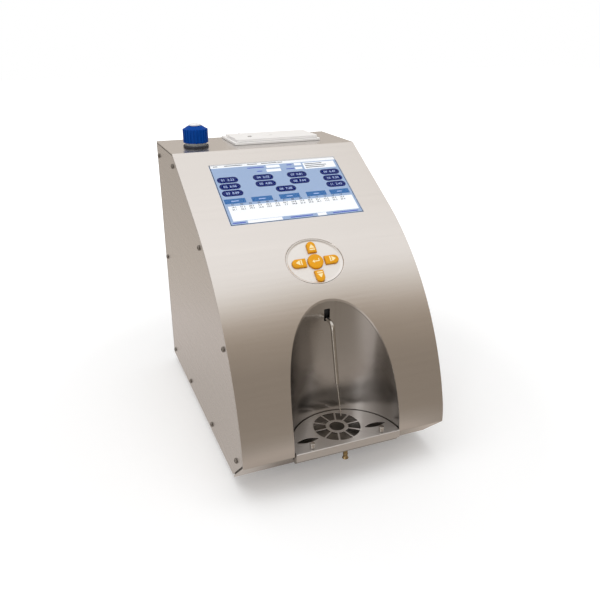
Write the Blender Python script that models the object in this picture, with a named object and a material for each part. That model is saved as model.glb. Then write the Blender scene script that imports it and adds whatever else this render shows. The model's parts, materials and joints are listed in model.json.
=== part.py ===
"""Milk analyzer: a stainless steel bench instrument with a display, five keys, a sample bay and a printer.

Lengths are in metres. The case frame has X across, Y from the front-most sheet to the rear, and Z up from
the underside of the case. An empty carries it, so the finished part stands on z = 0 with its box centred.
"""

from math import asin, atan2, cos, pi, radians, sin, tan

import bmesh
import bpy
from mathutils import Matrix, Vector

# Clearances and helpers that every piece shares
GAP = 0.0003
SLIDE_GAP = 0.0008
OVERRUN = 0.004
ROUND_SIDES = 24
SMALL_SIDES = 12
CURVE_STEP = radians(5)

# Case of bent sheet
CASE_WIDTH = 0.225
CASE_HEIGHT = 0.296
CASE_DEPTH = 0.333
SHEET = 0.0015
SLOPE_SETBACK = 0.2375
SLOPE_LENGTH = 0.1122
SLOPE_ANGLE = radians(60.4)
LOWER_RADIUS = 0.110
LOWER_ANGLE = radians(14)
CHAMFER_DEPTH = 0.035
PANEL_GAP = 0.0007
CORNER_GAP = 0.0022
FLANGE_DEPTH = 0.020
FLANGE_END = 0.003
BASE_FLANGE_HEIGHT = 0.018
BASE_FLANGE_FRONT = 0.070
REAR_FLANGE_MARGIN = 0.025

# Screws of the side panels
SCREW_INSET = 0.0125
SCREW_HEAD_RADIUS = 0.0029
SCREW_HEAD_HEIGHT = 0.0018
SCREW_HEAD_SHOULDER = 0.0007
SCREW_HEAD_TOP_SHARE = 0.5
SCREW_SHANK_RADIUS = 0.0015
NUT_STRIP_WIDTH = 0.009
NUT_STRIP_THICKNESS = 0.003
FRONT_SCREW_HEIGHTS = (0.029, 0.140, 0.219, 0.282)
REAR_SCREW_HEIGHTS = (0.148, 0.280)
LOWER_SCREW_PLACES = (0.121, 0.226, 0.3205)
LOWER_SCREW_HEIGHT = 0.0105

# Feet
FOOT_HEIGHT = 0.010
FOOT_RADIUS = 0.010
FOOT_TREAD_RADIUS = 0.009
FOOT_PEG_RADIUS = 0.0025
FOOT_PEG_HEIGHT = 0.003
FOOT_SIDE_INSET = 0.028
FOOT_FRONT = 0.075
FOOT_REAR_INSET = 0.030

# Sample bay: a half cylinder let into the front
BAY_RADIUS = 0.058
BAY_FLOOR = 0.0242
LINER_WALL = 0.0012
BAY_STEPS = 24
TUBE_SLOT_WIDTH = 0.0065
TUBE_SLOT_LOW = 0.1476
TUBE_SLOT_HIGH = 0.1610

# Drip tray that slides out of the bay
TRAY_TOP = 0.038
TRAY_SHEET = 0.0015
TRAY_SIDE_GAP = 0.0005
TRAY_STEPS = 20
TRAY_LIP_REACH = 0.003
TRAY_LIP_HEIGHT = 0.009
RING_CENTRE = 0.0285
RING_HOLE_RADIUS = 0.008
RING_INNER_RADIUS = 0.012
RING_OUTER_RADIUS = 0.025
RING_SLOTS = 10
RING_BAR = 0.0019
LENS_LENGTH = 0.023
LENS_WIDTH = 0.007
LENS_STEPS = 6
LENS_X = 0.0377
LENS_Y = 0.016
STUD_X = 0.039
STUD_Y = 0.0028
STUD_RADIUS = 0.0028
STUD_HEIGHT = 0.0055
STUD_SHANK_RADIUS = 0.0015
STUD_SHANK_LENGTH = 0.006
STUD_EDGE = 0.0006
PAN_WALL = 0.0010
PAN_FRONT = 0.0012
NOZZLE_SETBACK = 0.0035
NOZZLE_RADIUS = 0.0023
NOZZLE_BORE_RADIUS = 0.0012
NOZZLE_FLARE_RADIUS = 0.00275
NOZZLE_FLARE_HEIGHT = 0.0025
NOZZLE_TIP = 0.0117
NOZZLE_HEAD_RADIUS = 0.0038
NOZZLE_HEAD_HEIGHT = 0.0012

# Sampling tube on its pivot behind the bay
PIVOT_Y = 0.0695
PIVOT_Z = 0.1540
PIN_RADIUS = 0.0015
PIN_HOLE_RADIUS = 0.0018
PIN_END = 0.0012
HOLDER_WIDTH = 0.009
HOLDER_DEPTH = 0.011
HOLDER_HEIGHT = 0.011
EAR_THICKNESS = 0.002
EAR_HEIGHT = 0.017
EAR_REAR = 0.0775
EAR_GAP = 0.0006
TUBE_RADIUS = 0.0020
TUBE_START = Vector((0, 0.0655, 0.1512))
TUBE_BEND = Vector((0, 0.0455, 0.1492))
TUBE_END = Vector((0, 0.0305, 0.0885))
TUBE_BEND_RADIUS = 0.007
TUBE_BEND_STEPS = 8
NEEDLE_RADIUS = 0.0009
NEEDLE_TIP = Vector((0, 0.0195, 0.0560))

# Display behind its window
WINDOW_WIDTH = 0.1543
WINDOW_HEIGHT = 0.8556 * SLOPE_LENGTH
WINDOW_TOP = 0.2139 * SLOPE_LENGTH
GLASS_MARGIN = 0.0050
GLASS_THICKNESS = 0.0018
GLASS_GAP = 0.0006
LCD_MARGIN = 0.0030
LCD_THICKNESS = 0.0060
BRACKET_SHEET = 0.0015
BRACKET_SIDE_SHARE = 0.9
BRACKET_TOP = WINDOW_TOP - 0.009
BRACKET_BOTTOM = WINDOW_TOP + WINDOW_HEIGHT - 0.008
BOARD_THICKNESS = 0.0016
BOARD_POST_RADIUS = 0.003
BOARD_POST_HEIGHT = 0.006
MAIN_BOARD_WIDTH = 0.140
MAIN_BOARD_HEIGHT = 0.080
MAIN_BOARD_INSET = 0.006

# Keypad in its oval dish
KEYPAD_PLACE = WINDOW_TOP + WINDOW_HEIGHT + 0.0565
OVAL_WIDTH = 0.0620
OVAL_HEIGHT = 0.0517
OVAL_SIDES = 48
PAD_GAP = 0.0004
PAD_DEPTH = 0.0020
DISH_FLANGE_DEPTH = 0.0035
DISH_BACK = 0.0050
DISH_FLANGE_WIDTH = 0.072
DISH_FLANGE_HEIGHT = 0.062
DISH_POST_RADIUS = 0.0022
DISH_POST_INSET = 0.0045
KEY_RISE = 0.0026
KEY_WIDTH = 0.0105
KEY_INNER = 0.0100
KEY_OUTER_ACROSS = 0.0260
KEY_OUTER_UP = 0.0234
KEY_ROUND_RADIUS = 0.0082
KEY_EDGE = 0.0010
KEY_CROWN_INSET = 0.0030
KEY_DOME = 0.0004
KEY_HOLE_GAP = 0.0003
KEY_FLANGE = 0.0008
KEY_FLANGE_THICKNESS = 0.0012
KEY_TRAVEL = 0.0012
KEY_ARC_STEPS = 8
KEYPAD_BOARD_DEPTH = 0.0104
SWITCH_SIZE = 0.006

# Bottle in its well
BOTTLE_X = -0.076
BOTTLE_Y = 0.275
BOTTLE_RADIUS = 0.0127
BOTTLE_WALL = 0.0012
BOTTLE_DEPTH = 0.078
WELL_WALL = 0.0015
WELL_FLANGE = 0.005
WELL_HOLE_GAP = 0.0006
CAP_BASE = 0.0042
CAP_HEIGHT = 0.0200
CAP_RADIUS = 0.0147
CAP_RIB = 0.0005
CAP_RIBS = 24
CAP_TOP_RADIUS = 0.0083
CAP_CHAMFER = 0.0036
CAP_FOOT_CHAMFER = 0.0013
CAP_WALL = 0.0011
CAP_ROOF = 0.0030
DISC_RADIUS = 0.0069
DISC_HEIGHT = 0.0020
DISC_PEG_RADIUS = 0.0040
DISC_PEG_LENGTH = 0.0020

# Printer let into the top
PRINTER_X = 0.0248
PRINTER_WIDTH = 0.111
PRINTER_DEPTH = 0.065
PRINTER_FRONT = 0.2635
PRINTER_FLANGE = 0.0020
PRINTER_FLANGE_WIDTH = 0.004
PRINTER_HOLE_GAP = 0.0005
BUCKET_DEPTH = 0.053
BUCKET_WALL = 0.0020
LID_THICKNESS = 0.0017
LID_INSET = 0.0030
LID_BEVEL = 0.0009
LID_BARREL_RADIUS = 0.0038
LID_BARREL_GAP = 0.0004
LID_NOTCH = 0.0030
LID_PIN_RADIUS = 0.00075
LID_PIN_BORE = 0.0011
PLATEN_RADIUS = 0.005
PLATEN_LENGTH = 0.060
PLATEN_SHAFT_RADIUS = 0.0015
PLATEN_SHAFT_HOLE = 0.0019
PLATEN_FRONT = 0.0135
PLATEN_DROP = 0.0071
LID_EAR = 0.0030
LID_EAR_WIDTH = 0.007
HEAD_GAP = 0.0008
HEAD_HEIGHT = 0.012
HEAD_WIDTH = 0.054
ROLL_RADIUS = 0.020
ROLL_BORE_RADIUS = 0.006
ROLL_WIDTH = 0.057
FEED_X = -0.0064
FEED_Y = 0.2835
FEED_LENGTH = 0.0052
FEED_WIDTH = 0.0030
FEED_ARC_STEPS = 4
FEED_RISE = 0.0006
FEED_FLANGE = 0.0008
FEED_FLANGE_THICKNESS = 0.0008
FEED_GAP = 0.0002

# Sensor, pump and supply on the base plate
SIDE_ROOM = 0.0029
SENSOR_FRONT = 0.130
SENSOR_SIZE = Vector((0.050, 0.070, 0.060))
SENSOR_PORT_RADIUS = 0.004
SENSOR_PORT_HEIGHT = 0.008
SENSOR_PORT_INSET = 0.018
PUMP_FRONT = 0.120
PUMP_WIDTH = 0.050
PUMP_DEPTH = 0.025
PUMP_CHAMBER_RADIUS = 0.0195
PUMP_CHAMBER_DEPTH = 0.020
PUMP_ROTOR_RADIUS = 0.0185
PUMP_ROTOR_WAIST = 0.012
PUMP_ROTOR_LENGTH = 0.017
PUMP_ROLLERS = 3
ROLLER_POINTS = 8
PUMP_SHAFT_RADIUS = 0.003
PUMP_SHAFT_GAP = 0.0004
MOTOR_RADIUS = 0.018
MOTOR_LENGTH = 0.055
HOSE_RADIUS = 0.002
HOSE_LEG = 0.004
HOSE_REACH = 4
HOSE_RISE = 0.0225
HOSE_POINTS = 16
SUPPLY_FRONT = 0.120
SUPPLY_SIZE = Vector((0.048, 0.130, 0.042))

# Rear connections
INLET_X = -0.060
INLET_Z = 0.055
INLET_WIDTH = 0.054
INLET_HEIGHT = 0.030
INLET_FLANGE = 0.0025
INLET_BODY_INSET = 0.003
INLET_BODY_DEPTH = 0.030
INLET_HOLE_GAP = 0.0005
PLUG_CAVITY = Vector((0.024, 0.017, 0.016))
PLUG_CAVITY_X = -0.011
PIN_BLADE = Vector((0.002, 0.011, 0.004))
PIN_PITCH = 0.007
PIN_OFFSET = 0.002
SWITCH_CAVITY = Vector((0.013, 0.015, 0.0214))
SWITCH_X = 0.0145
ROCKER_WIDTH = 0.0118
ROCKER_HALF_HEIGHT = 0.0090
ROCKER_REACH = 0.0055
ROCKER_DIP = 0.0040
ROCKER_BACK = 0.0035
ROCKER_PIVOT_DEPTH = 0.0030
ROCKER_TILT = radians(8)
PORT_Z = 0.055
PORT_WALL = 0.0007
PORT_FLANGE_THICKNESS = 0.001
PORT_FLANGE_HEIGHT = 0.0125
PORT_FLANGE_MARGIN = 0.007
SERIAL_X = 0.020
SERIAL_SHELL = Vector((0.017, 0.0065, 0.0085))
SERIAL_BODY_DEPTH = 0.010
SERIAL_TAPER = 0.0012
DATA_X = 0.055
DATA_SHELL = Vector((0.0145, 0.0025, 0.0075))
DATA_BODY_DEPTH = 0.016

# Places worked out from the sizes above
HALF_WIDTH = CASE_WIDTH / 2
SLOPE_Y, SLOPE_Z = sin(SLOPE_ANGLE), cos(SLOPE_ANGLE)
CURVE_DEPTH = SLOPE_SETBACK - SLOPE_LENGTH * SLOPE_Y
UPPER_RADIUS = (CURVE_DEPTH - LOWER_RADIUS * (1 - cos(LOWER_ANGLE))) / (cos(LOWER_ANGLE) - SLOPE_Z)
CURVE_TOP = Vector((0, CURVE_DEPTH, CASE_HEIGHT - SLOPE_LENGTH * SLOPE_Z))
UPPER_CENTRE = CURVE_TOP + UPPER_RADIUS * Vector((0, SLOPE_Z, -SLOPE_Y))
LOWER_AXIS = Vector((0, cos(LOWER_ANGLE), -sin(LOWER_ANGLE)))
LOWER_CENTRE = UPPER_CENTRE - (UPPER_RADIUS - LOWER_RADIUS) * LOWER_AXIS
CHAMFER_TOP = LOWER_CENTRE.z
CHAMFER_ANGLE = atan2(CHAMFER_DEPTH, CHAMFER_TOP)
PANEL_OUTER = HALF_WIDTH
PANEL_INNER = PANEL_OUTER - SHEET
FLANGE_OUTER = PANEL_INNER - GAP
FLANGE_INNER = FLANGE_OUTER - SHEET
STRIP_OUTER = FLANGE_INNER - GAP
REAR_INNER = CASE_DEPTH - SHEET
BASE_SEAT = SHEET + GAP
KEYPAD_ANGLE = SLOPE_ANGLE - (KEYPAD_PLACE - SLOPE_LENGTH) / UPPER_RADIUS
KEYPAD_CENTRE = UPPER_CENTRE - UPPER_RADIUS * Vector((0, cos(KEYPAD_ANGLE), -sin(KEYPAD_ANGLE)))
NOZZLE_Y = CHAMFER_DEPTH * (1 - BAY_FLOOR / CHAMFER_TOP) - NOZZLE_SETBACK
ROOM_SIDE = STRIP_OUTER - NUT_STRIP_THICKNESS - SIDE_ROOM
BRACKET_OUTER = WINDOW_WIDTH / 2 + BRACKET_SIDE_SHARE * (ROOM_SIDE + SIDE_ROOM - WINDOW_WIDTH / 2)
SENSOR_LOW = Vector((-ROOM_SIDE, SENSOR_FRONT, 0))
SUPPLY_LOW = Vector((ROOM_SIDE - SUPPLY_SIZE.x, SUPPLY_FRONT, 0))
PUMP_X = (SUPPLY_LOW.x - ROOM_SIDE + SENSOR_SIZE.x) / 2
SENSOR_TOP = BASE_SEAT + SENSOR_SIZE.z + SENSOR_PORT_HEIGHT
SENSOR_MIDDLE = SENSOR_LOW.x + SENSOR_SIZE.x / 2
SENSOR_PORTS = (SENSOR_LOW.y + SENSOR_PORT_INSET, SENSOR_LOW.y + SENSOR_SIZE.y - SENSOR_PORT_INSET)
PUMP_Z = BASE_SEAT + PUMP_WIDTH / 2
PUMP_TOP = BASE_SEAT + PUMP_WIDTH
PUMP_PORT_Y = PUMP_FRONT + PUMP_DEPTH / 2
PAN_RADIUS = BAY_RADIUS - SLIDE_GAP
PAN_BOTTOM = BAY_FLOOR + GAP
TRAY_BOTTOM = TRAY_TOP - TRAY_SHEET
CAP_TOP = CASE_HEIGHT + CAP_BASE + CAP_HEIGHT
BOTTLE_BOTTOM = CASE_HEIGHT - BOTTLE_DEPTH
BOTTLE_TOP = CAP_TOP - CAP_ROOF - GAP
LID_BOTTOM = CASE_HEIGHT + GAP + PRINTER_FLANGE + GAP
LID_TOP = LID_BOTTOM + LID_THICKNESS
BUCKET_FRONT = PRINTER_FRONT + PRINTER_FLANGE_WIDTH - BUCKET_WALL + PRINTER_HOLE_GAP
BUCKET_REAR = PRINTER_FRONT + PRINTER_DEPTH - PRINTER_FLANGE_WIDTH + BUCKET_WALL - PRINTER_HOLE_GAP
BUCKET_HALF = PRINTER_WIDTH / 2 - PRINTER_FLANGE_WIDTH
BUCKET_BOTTOM = CASE_HEIGHT - BUCKET_DEPTH
LID_HALF = BUCKET_HALF - BUCKET_WALL - LID_BARREL_GAP
LID_PIVOT_Y = BUCKET_REAR - BUCKET_WALL - LID_BARREL_GAP - LID_BARREL_RADIUS
LID_PIVOT_Z = LID_TOP - LID_BARREL_RADIUS
PLATEN_Y = PRINTER_FRONT + PLATEN_FRONT
PLATEN_Z = LID_BOTTOM - PLATEN_DROP
PLATEN_EAR_X = PLATEN_LENGTH / 2 + GAP
ROCKER_PIVOT = Vector((INLET_X + SWITCH_X, CASE_DEPTH - ROCKER_PIVOT_DEPTH, INLET_Z))
FRONT_REACH = TRAY_LIP_REACH
REAR_REACH = SERIAL_SHELL.y

# Colour, roughness and metallic value of each material
STEEL = ((0.62, 0.59, 0.56), 0.32, 1.0)
DARK_STEEL = ((0.40, 0.38, 0.36), 0.38, 1.0)
POLISHED = ((0.75, 0.74, 0.72), 0.12, 1.0)
BRASS = ((0.55, 0.42, 0.20), 0.30, 1.0)
RUBBER = ((0.03, 0.03, 0.03), 0.80, 0.0)
BLACK_PLASTIC = ((0.04, 0.04, 0.045), 0.45, 0.0)
WHITE_PLASTIC = ((0.82, 0.81, 0.78), 0.40, 0.0)
SILVER_PLASTIC = ((0.78, 0.78, 0.77), 0.45, 0.0)
AMBER = ((0.85, 0.50, 0.03), 0.35, 0.0)
BLUE_PLASTIC = ((0.01, 0.08, 0.42), 0.40, 0.0)
CLEAR_PLASTIC = ((0.80, 0.82, 0.80), 0.25, 0.0)
SCREEN_BLUE = ((0.37, 0.49, 0.74), 0.15, 0.0)
BOARD_GREEN = ((0.02, 0.18, 0.07), 0.50, 0.0)
ALUMINIUM = ((0.70, 0.70, 0.70), 0.40, 1.0)
PAPER = ((0.85, 0.85, 0.82), 0.80, 0.0)


def clear_scene():
    """Empties the scene."""
    for obj in list(bpy.data.objects):
        bpy.data.objects.remove(obj, do_unlink=True)


def finish(name, look):
    """A Principled material from its colour, roughness and metallic value."""
    colour, roughness, metallic = look
    material = bpy.data.materials.new(name)
    material.use_nodes = True
    shader = material.node_tree.nodes["Principled BSDF"]
    shader.inputs["Base Color"].default_value = (*colour, 1)
    shader.inputs["Roughness"].default_value = roughness
    shader.inputs["Metallic"].default_value = metallic
    return material


def empty(name, place, tilt=0, parent=None):
    """A frame for pieces, turned by tilt about X."""
    frame = bpy.data.objects.new(name, None)
    frame.location = place
    frame.rotation_euler = (tilt, 0, 0)
    frame.parent = parent
    bpy.context.scene.collection.objects.link(frame)
    return frame


def add(name, shape, parent, look=None, place=(0, 0, 0), turn=(0, 0, 0)):
    """An object of a bmesh: a piece with its own material, or a cutter when it has no look."""
    bmesh.ops.recalc_face_normals(shape, faces=shape.faces)
    mesh = bpy.data.meshes.new(name)
    shape.to_mesh(mesh)
    shape.free()
    piece = bpy.data.objects.new(name, mesh)
    piece.location = place
    piece.rotation_euler = turn
    piece.parent = parent
    bpy.context.scene.collection.objects.link(piece)
    if look is None:
        piece.hide_render = True
        piece.display_type = "WIRE"
    else:
        mesh.materials.append(finish(name + "_finish", look))
        mesh.shade_smooth()
        mesh.set_sharp_from_angle(angle=radians(30))
    return piece


def set_origin(piece, point):
    """Puts a piece's origin on its joint's axis, with its shape left where it is."""
    piece.data.transform(Matrix.Translation(-Vector(point)))
    piece.location = point


def combine(piece, tool, operation):
    """Adds one Boolean to a piece."""
    modifier = piece.modifiers.new(operation.lower(), "BOOLEAN")
    modifier.operation = operation
    modifier.solver = "EXACT"
    modifier.object = tool


def cut(piece, *tools):
    """Takes each tool away from the piece."""
    for tool in tools:
        combine(piece, tool, "DIFFERENCE")


def join(piece, *tools):
    """Adds each tool to the piece, as one body."""
    for tool in tools:
        combine(piece, tool, "UNION")


def loft(shape, rings, closed=False):
    """Skins rings of equal point counts, with flat ends unless it closes on itself."""
    rows = [[shape.verts.new(point) for point in ring] for ring in rings]
    pairs = list(zip(rows, rows[1:]))
    if closed:
        pairs.append((rows[-1], rows[0]))
    for first, second in pairs:
        for index, corner in enumerate(first):
            shape.faces.new((first[index - 1], corner, second[index], second[index - 1]))
    if not closed:
        shape.faces.new(rows[0])
        shape.faces.new(rows[-1])
    return shape


def boxes(*spans):
    """A bmesh of boxes, each given by two opposite corners."""
    shape = bmesh.new()
    for low, high in spans:
        corners = ((low[0], low[1]), (high[0], low[1]), (high[0], high[1]), (low[0], high[1]))
        loft(shape, raised(corners, low[2], high[2]))
    return shape


def raised(outline, *levels):
    """Rings of one flat outline at several heights."""
    return [[(x, y, z) for x, y in outline] for z in levels]


def circle(radius, sides=ROUND_SIDES, x=0.0, y=0.0):
    """Points of a circle in a plane."""
    turns = [2 * pi * (step + 0.5) / sides for step in range(sides)]
    return [(x + radius * cos(turn), y + radius * sin(turn)) for turn in turns]


def ellipse(width, height, sides):
    """Points of an oval of a width and a height."""
    return [(x * width / 2, y * height / 2) for x, y in circle(1, sides)]


def turned(stations, sides=ROUND_SIDES, x=0.0, y=0.0, closed=False, shape=None):
    """A turned shape about Z from (radius, height) stations."""
    rings = [[(*point, height) for point in circle(radius, sides, x, y)] for radius, height in stations]
    return loft(bmesh.new() if shape is None else shape, rings, closed)


def laid(shape, axis):
    """Turns a shape made along Z so that it lies along X or Y."""
    turn = Matrix.Rotation(pi / 2, 3, "Y") if axis == "X" else Matrix.Rotation(-pi / 2, 3, "X")
    bmesh.ops.rotate(shape, cent=(0, 0, 0), matrix=turn, verts=shape.verts)
    return shape


def moved(shape, x=0.0, y=0.0, z=0.0):
    """Shifts a whole shape."""
    bmesh.ops.translate(shape, vec=(x, y, z), verts=shape.verts)
    return shape


def arc_points(centre, radius, start, end):
    """Points of a front arc, by the angle of its tangent from the vertical."""
    steps = max(1, round(abs(end - start) / CURVE_STEP))
    angles = [start + (end - start) * step / steps for step in range(steps + 1)]
    return [(centre.y - radius * cos(angle), centre.z + radius * sin(angle)) for angle in angles]


def chamfer_y(inset, height):
    """Where the chamfer, set in by a distance, lies at a height."""
    return (inset - (height - CHAMFER_TOP) * sin(CHAMFER_ANGLE)) / cos(CHAMFER_ANGLE)


def front_profile(inset, foot=0.0, chamfer_inset=None):
    """The case's front outline in Y and Z, from the foot of its chamfer to the edge of its top."""
    chamfer_inset = inset if chamfer_inset is None else chamfer_inset
    corner = CHAMFER_TOP + (chamfer_inset - inset * cos(CHAMFER_ANGLE)) / sin(CHAMFER_ANGLE)
    lower = arc_points(LOWER_CENTRE, LOWER_RADIUS - inset, 0, LOWER_ANGLE)
    upper = arc_points(UPPER_CENTRE, UPPER_RADIUS - inset, LOWER_ANGLE, SLOPE_ANGLE)
    edge = SLOPE_SETBACK + inset * (1 - SLOPE_Y) / SLOPE_Z
    start = [(chamfer_y(chamfer_inset, foot), foot), (inset, corner)]
    return start + [point for point in lower if point[1] > corner] + upper[1:] + [(edge, CASE_HEIGHT - inset)]


def side_rings(outline, *places):
    """Rings of an outline in Y and Z at several places along X."""
    return [[(x, y, z) for y, z in outline] for x in places]


def both_sides(outline, inner, outer):
    """One plate near each side of the case."""
    shape = loft(bmesh.new(), side_rings(outline, inner, outer))
    return loft(shape, side_rings(outline, -outer, -inner))


def d_outline(radius, front, steps):
    """A half circle to the rear with a straight front edge at y = -front."""
    arc = [(radius * cos(pi * step / steps), radius * sin(pi * step / steps)) for step in range(steps + 1)]
    return [(radius, -front)] + arc + [(-radius, -front)]


def front_screws():
    """Places in Y and Z of the screws along the front edge of a side panel."""
    profile = front_profile(SCREW_INSET)
    places = []
    for height in FRONT_SCREW_HEIGHTS:
        for (y0, z0), (y1, z1) in zip(profile, profile[1:]):
            if z0 <= height < z1:
                places.append((y0 + (y1 - y0) * (height - z0) / (z1 - z0), height))
    return places


def screw_rows():
    """Each row of panel screws with its places in Y and Z."""
    rear = [(CASE_DEPTH - SCREW_INSET, height) for height in REAR_SCREW_HEIGHTS]
    lower = [(place, LOWER_SCREW_HEIGHT) for place in LOWER_SCREW_PLACES]
    return (("front", front_screws()), ("rear", rear), ("lower", lower))


def screw_holes(case):
    """A cutter for the holes of all the side screws."""
    shape = bmesh.new()
    start, reach = STRIP_OUTER - GAP / 2, HALF_WIDTH + OVERRUN
    for _, places in screw_rows():
        for y, z in places:
            hole = circle(SCREW_SHANK_RADIUS + GAP, SMALL_SIDES, y, z)
            loft(shape, side_rings(hole, start, reach))
            loft(shape, side_rings(hole, -reach, -start))
    return add("screw_hole_cutter", shape, case)


def cover_cutters(case, slope, keypad):
    """Cutters for the bay, the display window, the keypad, the printer and the bottle."""
    bay = loft(bmesh.new(), raised(d_outline(BAY_RADIUS, BAY_RADIUS, BAY_STEPS), BAY_FLOOR, CASE_HEIGHT))
    half, low = WINDOW_WIDTH / 2, -(WINDOW_TOP + WINDOW_HEIGHT)
    window = boxes(((-half, low, -OVERRUN), (half, -WINDOW_TOP, OVERRUN)))
    oval = loft(bmesh.new(), raised(ellipse(OVAL_WIDTH, OVAL_HEIGHT, OVAL_SIDES), -OVERRUN, OVERRUN))
    mouth = BUCKET_HALF + PRINTER_HOLE_GAP
    printer = boxes((
        (PRINTER_X - mouth, BUCKET_FRONT - PRINTER_HOLE_GAP, CASE_HEIGHT - OVERRUN),
        (PRINTER_X + mouth, BUCKET_REAR + PRINTER_HOLE_GAP, CASE_HEIGHT + OVERRUN),
    ))
    neck = BOTTLE_RADIUS + WELL_HOLE_GAP
    ends = [(neck, CASE_HEIGHT - OVERRUN), (neck, CASE_HEIGHT + OVERRUN)]
    return (
        add("bay_cutter", bay, case),
        add("window_cutter", window, slope),
        add("keypad_cutter", oval, keypad),
        add("printer_cutter", printer, case),
        add("bottle_cutter", turned(ends, x=BOTTLE_X, y=BOTTLE_Y), case),
    )


def build_cover(case, slope, keypad, holes):
    """One bent sheet: chamfer, curved front, slope and top, with a flange along each side."""
    inner = front_profile(SHEET)
    top = [(CASE_DEPTH, CASE_HEIGHT), (CASE_DEPTH, CASE_HEIGHT - SHEET)]
    rings = side_rings(front_profile(0) + top + inner[::-1], -HALF_WIDTH, HALF_WIDTH)
    cover = add("front_cover", loft(bmesh.new(), rings), case, STEEL)
    deep = front_profile(FLANGE_DEPTH, FLANGE_END)
    rim = front_profile(SHEET / 2, FLANGE_END)
    rear = REAR_INNER - GAP
    band = rim + [(rear, CASE_HEIGHT - SHEET / 2), (rear, CASE_HEIGHT - FLANGE_DEPTH)] + deep[::-1]
    join(cover, add("cover_flange_tool", both_sides(band, FLANGE_INNER, FLANGE_OUTER), case))
    cut(cover, *cover_cutters(case, slope, keypad), holes)


def build_panels(case, holes):
    """The two flat side panels, set in from the cover's edge by a dark gap."""
    inset = SHEET + PANEL_GAP
    rear = REAR_INNER - PANEL_GAP
    outline = front_profile(inset, GAP, SHEET + CORNER_GAP) + [(rear, CASE_HEIGHT - inset), (rear, GAP)]
    for name, side in (("left", -1), ("right", 1)):
        rings = side_rings(outline, side * PANEL_INNER, side * PANEL_OUTER)
        cut(add("side_panel_" + name, loft(bmesh.new(), rings), case, STEEL), holes)


def build_rear(case, holes):
    """The rear panel with its side flanges and the openings for its connections."""
    top = CASE_HEIGHT - SHEET - GAP
    panel = boxes(((-HALF_WIDTH, REAR_INNER, GAP), (HALF_WIDTH, CASE_DEPTH, top)))
    panel = add("rear_panel", panel, case, STEEL)
    low, high = REAR_FLANGE_MARGIN, CASE_HEIGHT - REAR_FLANGE_MARGIN
    edge, middle = CASE_DEPTH - FLANGE_DEPTH, CASE_DEPTH - SHEET / 2
    outline = [(edge, low), (middle, low), (middle, high), (edge, high)]
    join(panel, add("rear_flange_tool", both_sides(outline, FLANGE_INNER, FLANGE_OUTER), case))
    half_x = INLET_WIDTH / 2 - INLET_BODY_INSET + INLET_HOLE_GAP
    half_z = INLET_HEIGHT / 2 - INLET_BODY_INSET + INLET_HOLE_GAP
    openings = [(INLET_X, INLET_Z, half_x, half_z)]
    for x, shell in ((SERIAL_X, SERIAL_SHELL), (DATA_X, DATA_SHELL)):
        openings.append((x, PORT_Z, shell.x / 2 + GAP, shell.z / 2 + GAP))
    spans = [
        ((x - half_x, REAR_INNER - OVERRUN, z - half_z), (x + half_x, CASE_DEPTH + OVERRUN, z + half_z))
        for x, z, half_x, half_z in openings
    ]
    cut(panel, add("rear_cutter", boxes(*spans), case), holes)


def foot_places():
    """Name and centre of each of the four feet."""
    x = HALF_WIDTH - FOOT_SIDE_INSET
    rows = (("front", FOOT_FRONT), ("rear", CASE_DEPTH - FOOT_REAR_INSET))
    return [(f"{row}_{side}", sign * x, y) for row, y in rows for side, sign in (("left", -1), ("right", 1))]


def build_base(case, holes):
    """The base plate with turned-up flanges, and the four rubber feet pegged into it."""
    rear = REAR_INNER - GAP
    base = boxes(((-FLANGE_OUTER, chamfer_y(SHEET + GAP, 0), 0), (FLANGE_OUTER, rear, SHEET)))
    base = add("base_plate", base, case, STEEL)
    low, top = SHEET / 2, BASE_FLANGE_HEIGHT
    outline = [(BASE_FLANGE_FRONT, low), (rear, low), (rear, top), (BASE_FLANGE_FRONT, top)]
    join(base, add("base_flange_tool", both_sides(outline, FLANGE_INNER, FLANGE_OUTER), case))
    pegs = bmesh.new()
    hole = FOOT_PEG_RADIUS + GAP
    for name, x, y in foot_places():
        turned([(hole, -OVERRUN), (hole, OVERRUN)], SMALL_SIDES, x, y, shape=pegs)
        tread = [(FOOT_TREAD_RADIUS, -FOOT_HEIGHT), (FOOT_RADIUS, -GAP)]
        peg = [(FOOT_PEG_RADIUS, -GAP), (FOOT_PEG_RADIUS, FOOT_PEG_HEIGHT)]
        add("foot_" + name, turned(tread + peg, SMALL_SIDES, x, y), case, RUBBER)
    cut(base, add("foot_hole_cutter", pegs, case), holes)


def screw_head(side, y, z):
    """Rings along X of a button head, its shank and its end."""
    seat = PANEL_OUTER + GAP
    stations = (
        (SCREW_HEAD_RADIUS * SCREW_HEAD_TOP_SHARE, seat + SCREW_HEAD_HEIGHT),
        (SCREW_HEAD_RADIUS, seat + SCREW_HEAD_SHOULDER),
        (SCREW_HEAD_RADIUS, seat),
        (SCREW_SHANK_RADIUS, seat),
        (SCREW_SHANK_RADIUS, STRIP_OUTER - NUT_STRIP_THICKNESS / 2),
    )
    return [[(side * x, *point) for point in circle(radius, SMALL_SIDES, y, z)] for radius, x in stations]


def strip_outline(places):
    """A band of nut strip round a row of screw places, as wide as the strip."""
    half = NUT_STRIP_WIDTH / 2
    spine = [Vector(place) for place in places]
    runs = [(after - before).normalized() for before, after in zip(spine, spine[1:])]
    spine[0] = spine[0] - runs[0] * half
    spine[-1] = spine[-1] + runs[-1] * half
    left, right = [], []
    for index, point in enumerate(spine):
        before, after = runs[max(index - 1, 0)], runs[min(index, len(runs) - 1)]
        along = (before + after).normalized()
        across = Vector((-along.y, along.x)) * (half / along.dot(before))
        left.append(tuple(point + across))
        right.append(tuple(point - across))
    return left + right[::-1]


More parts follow.
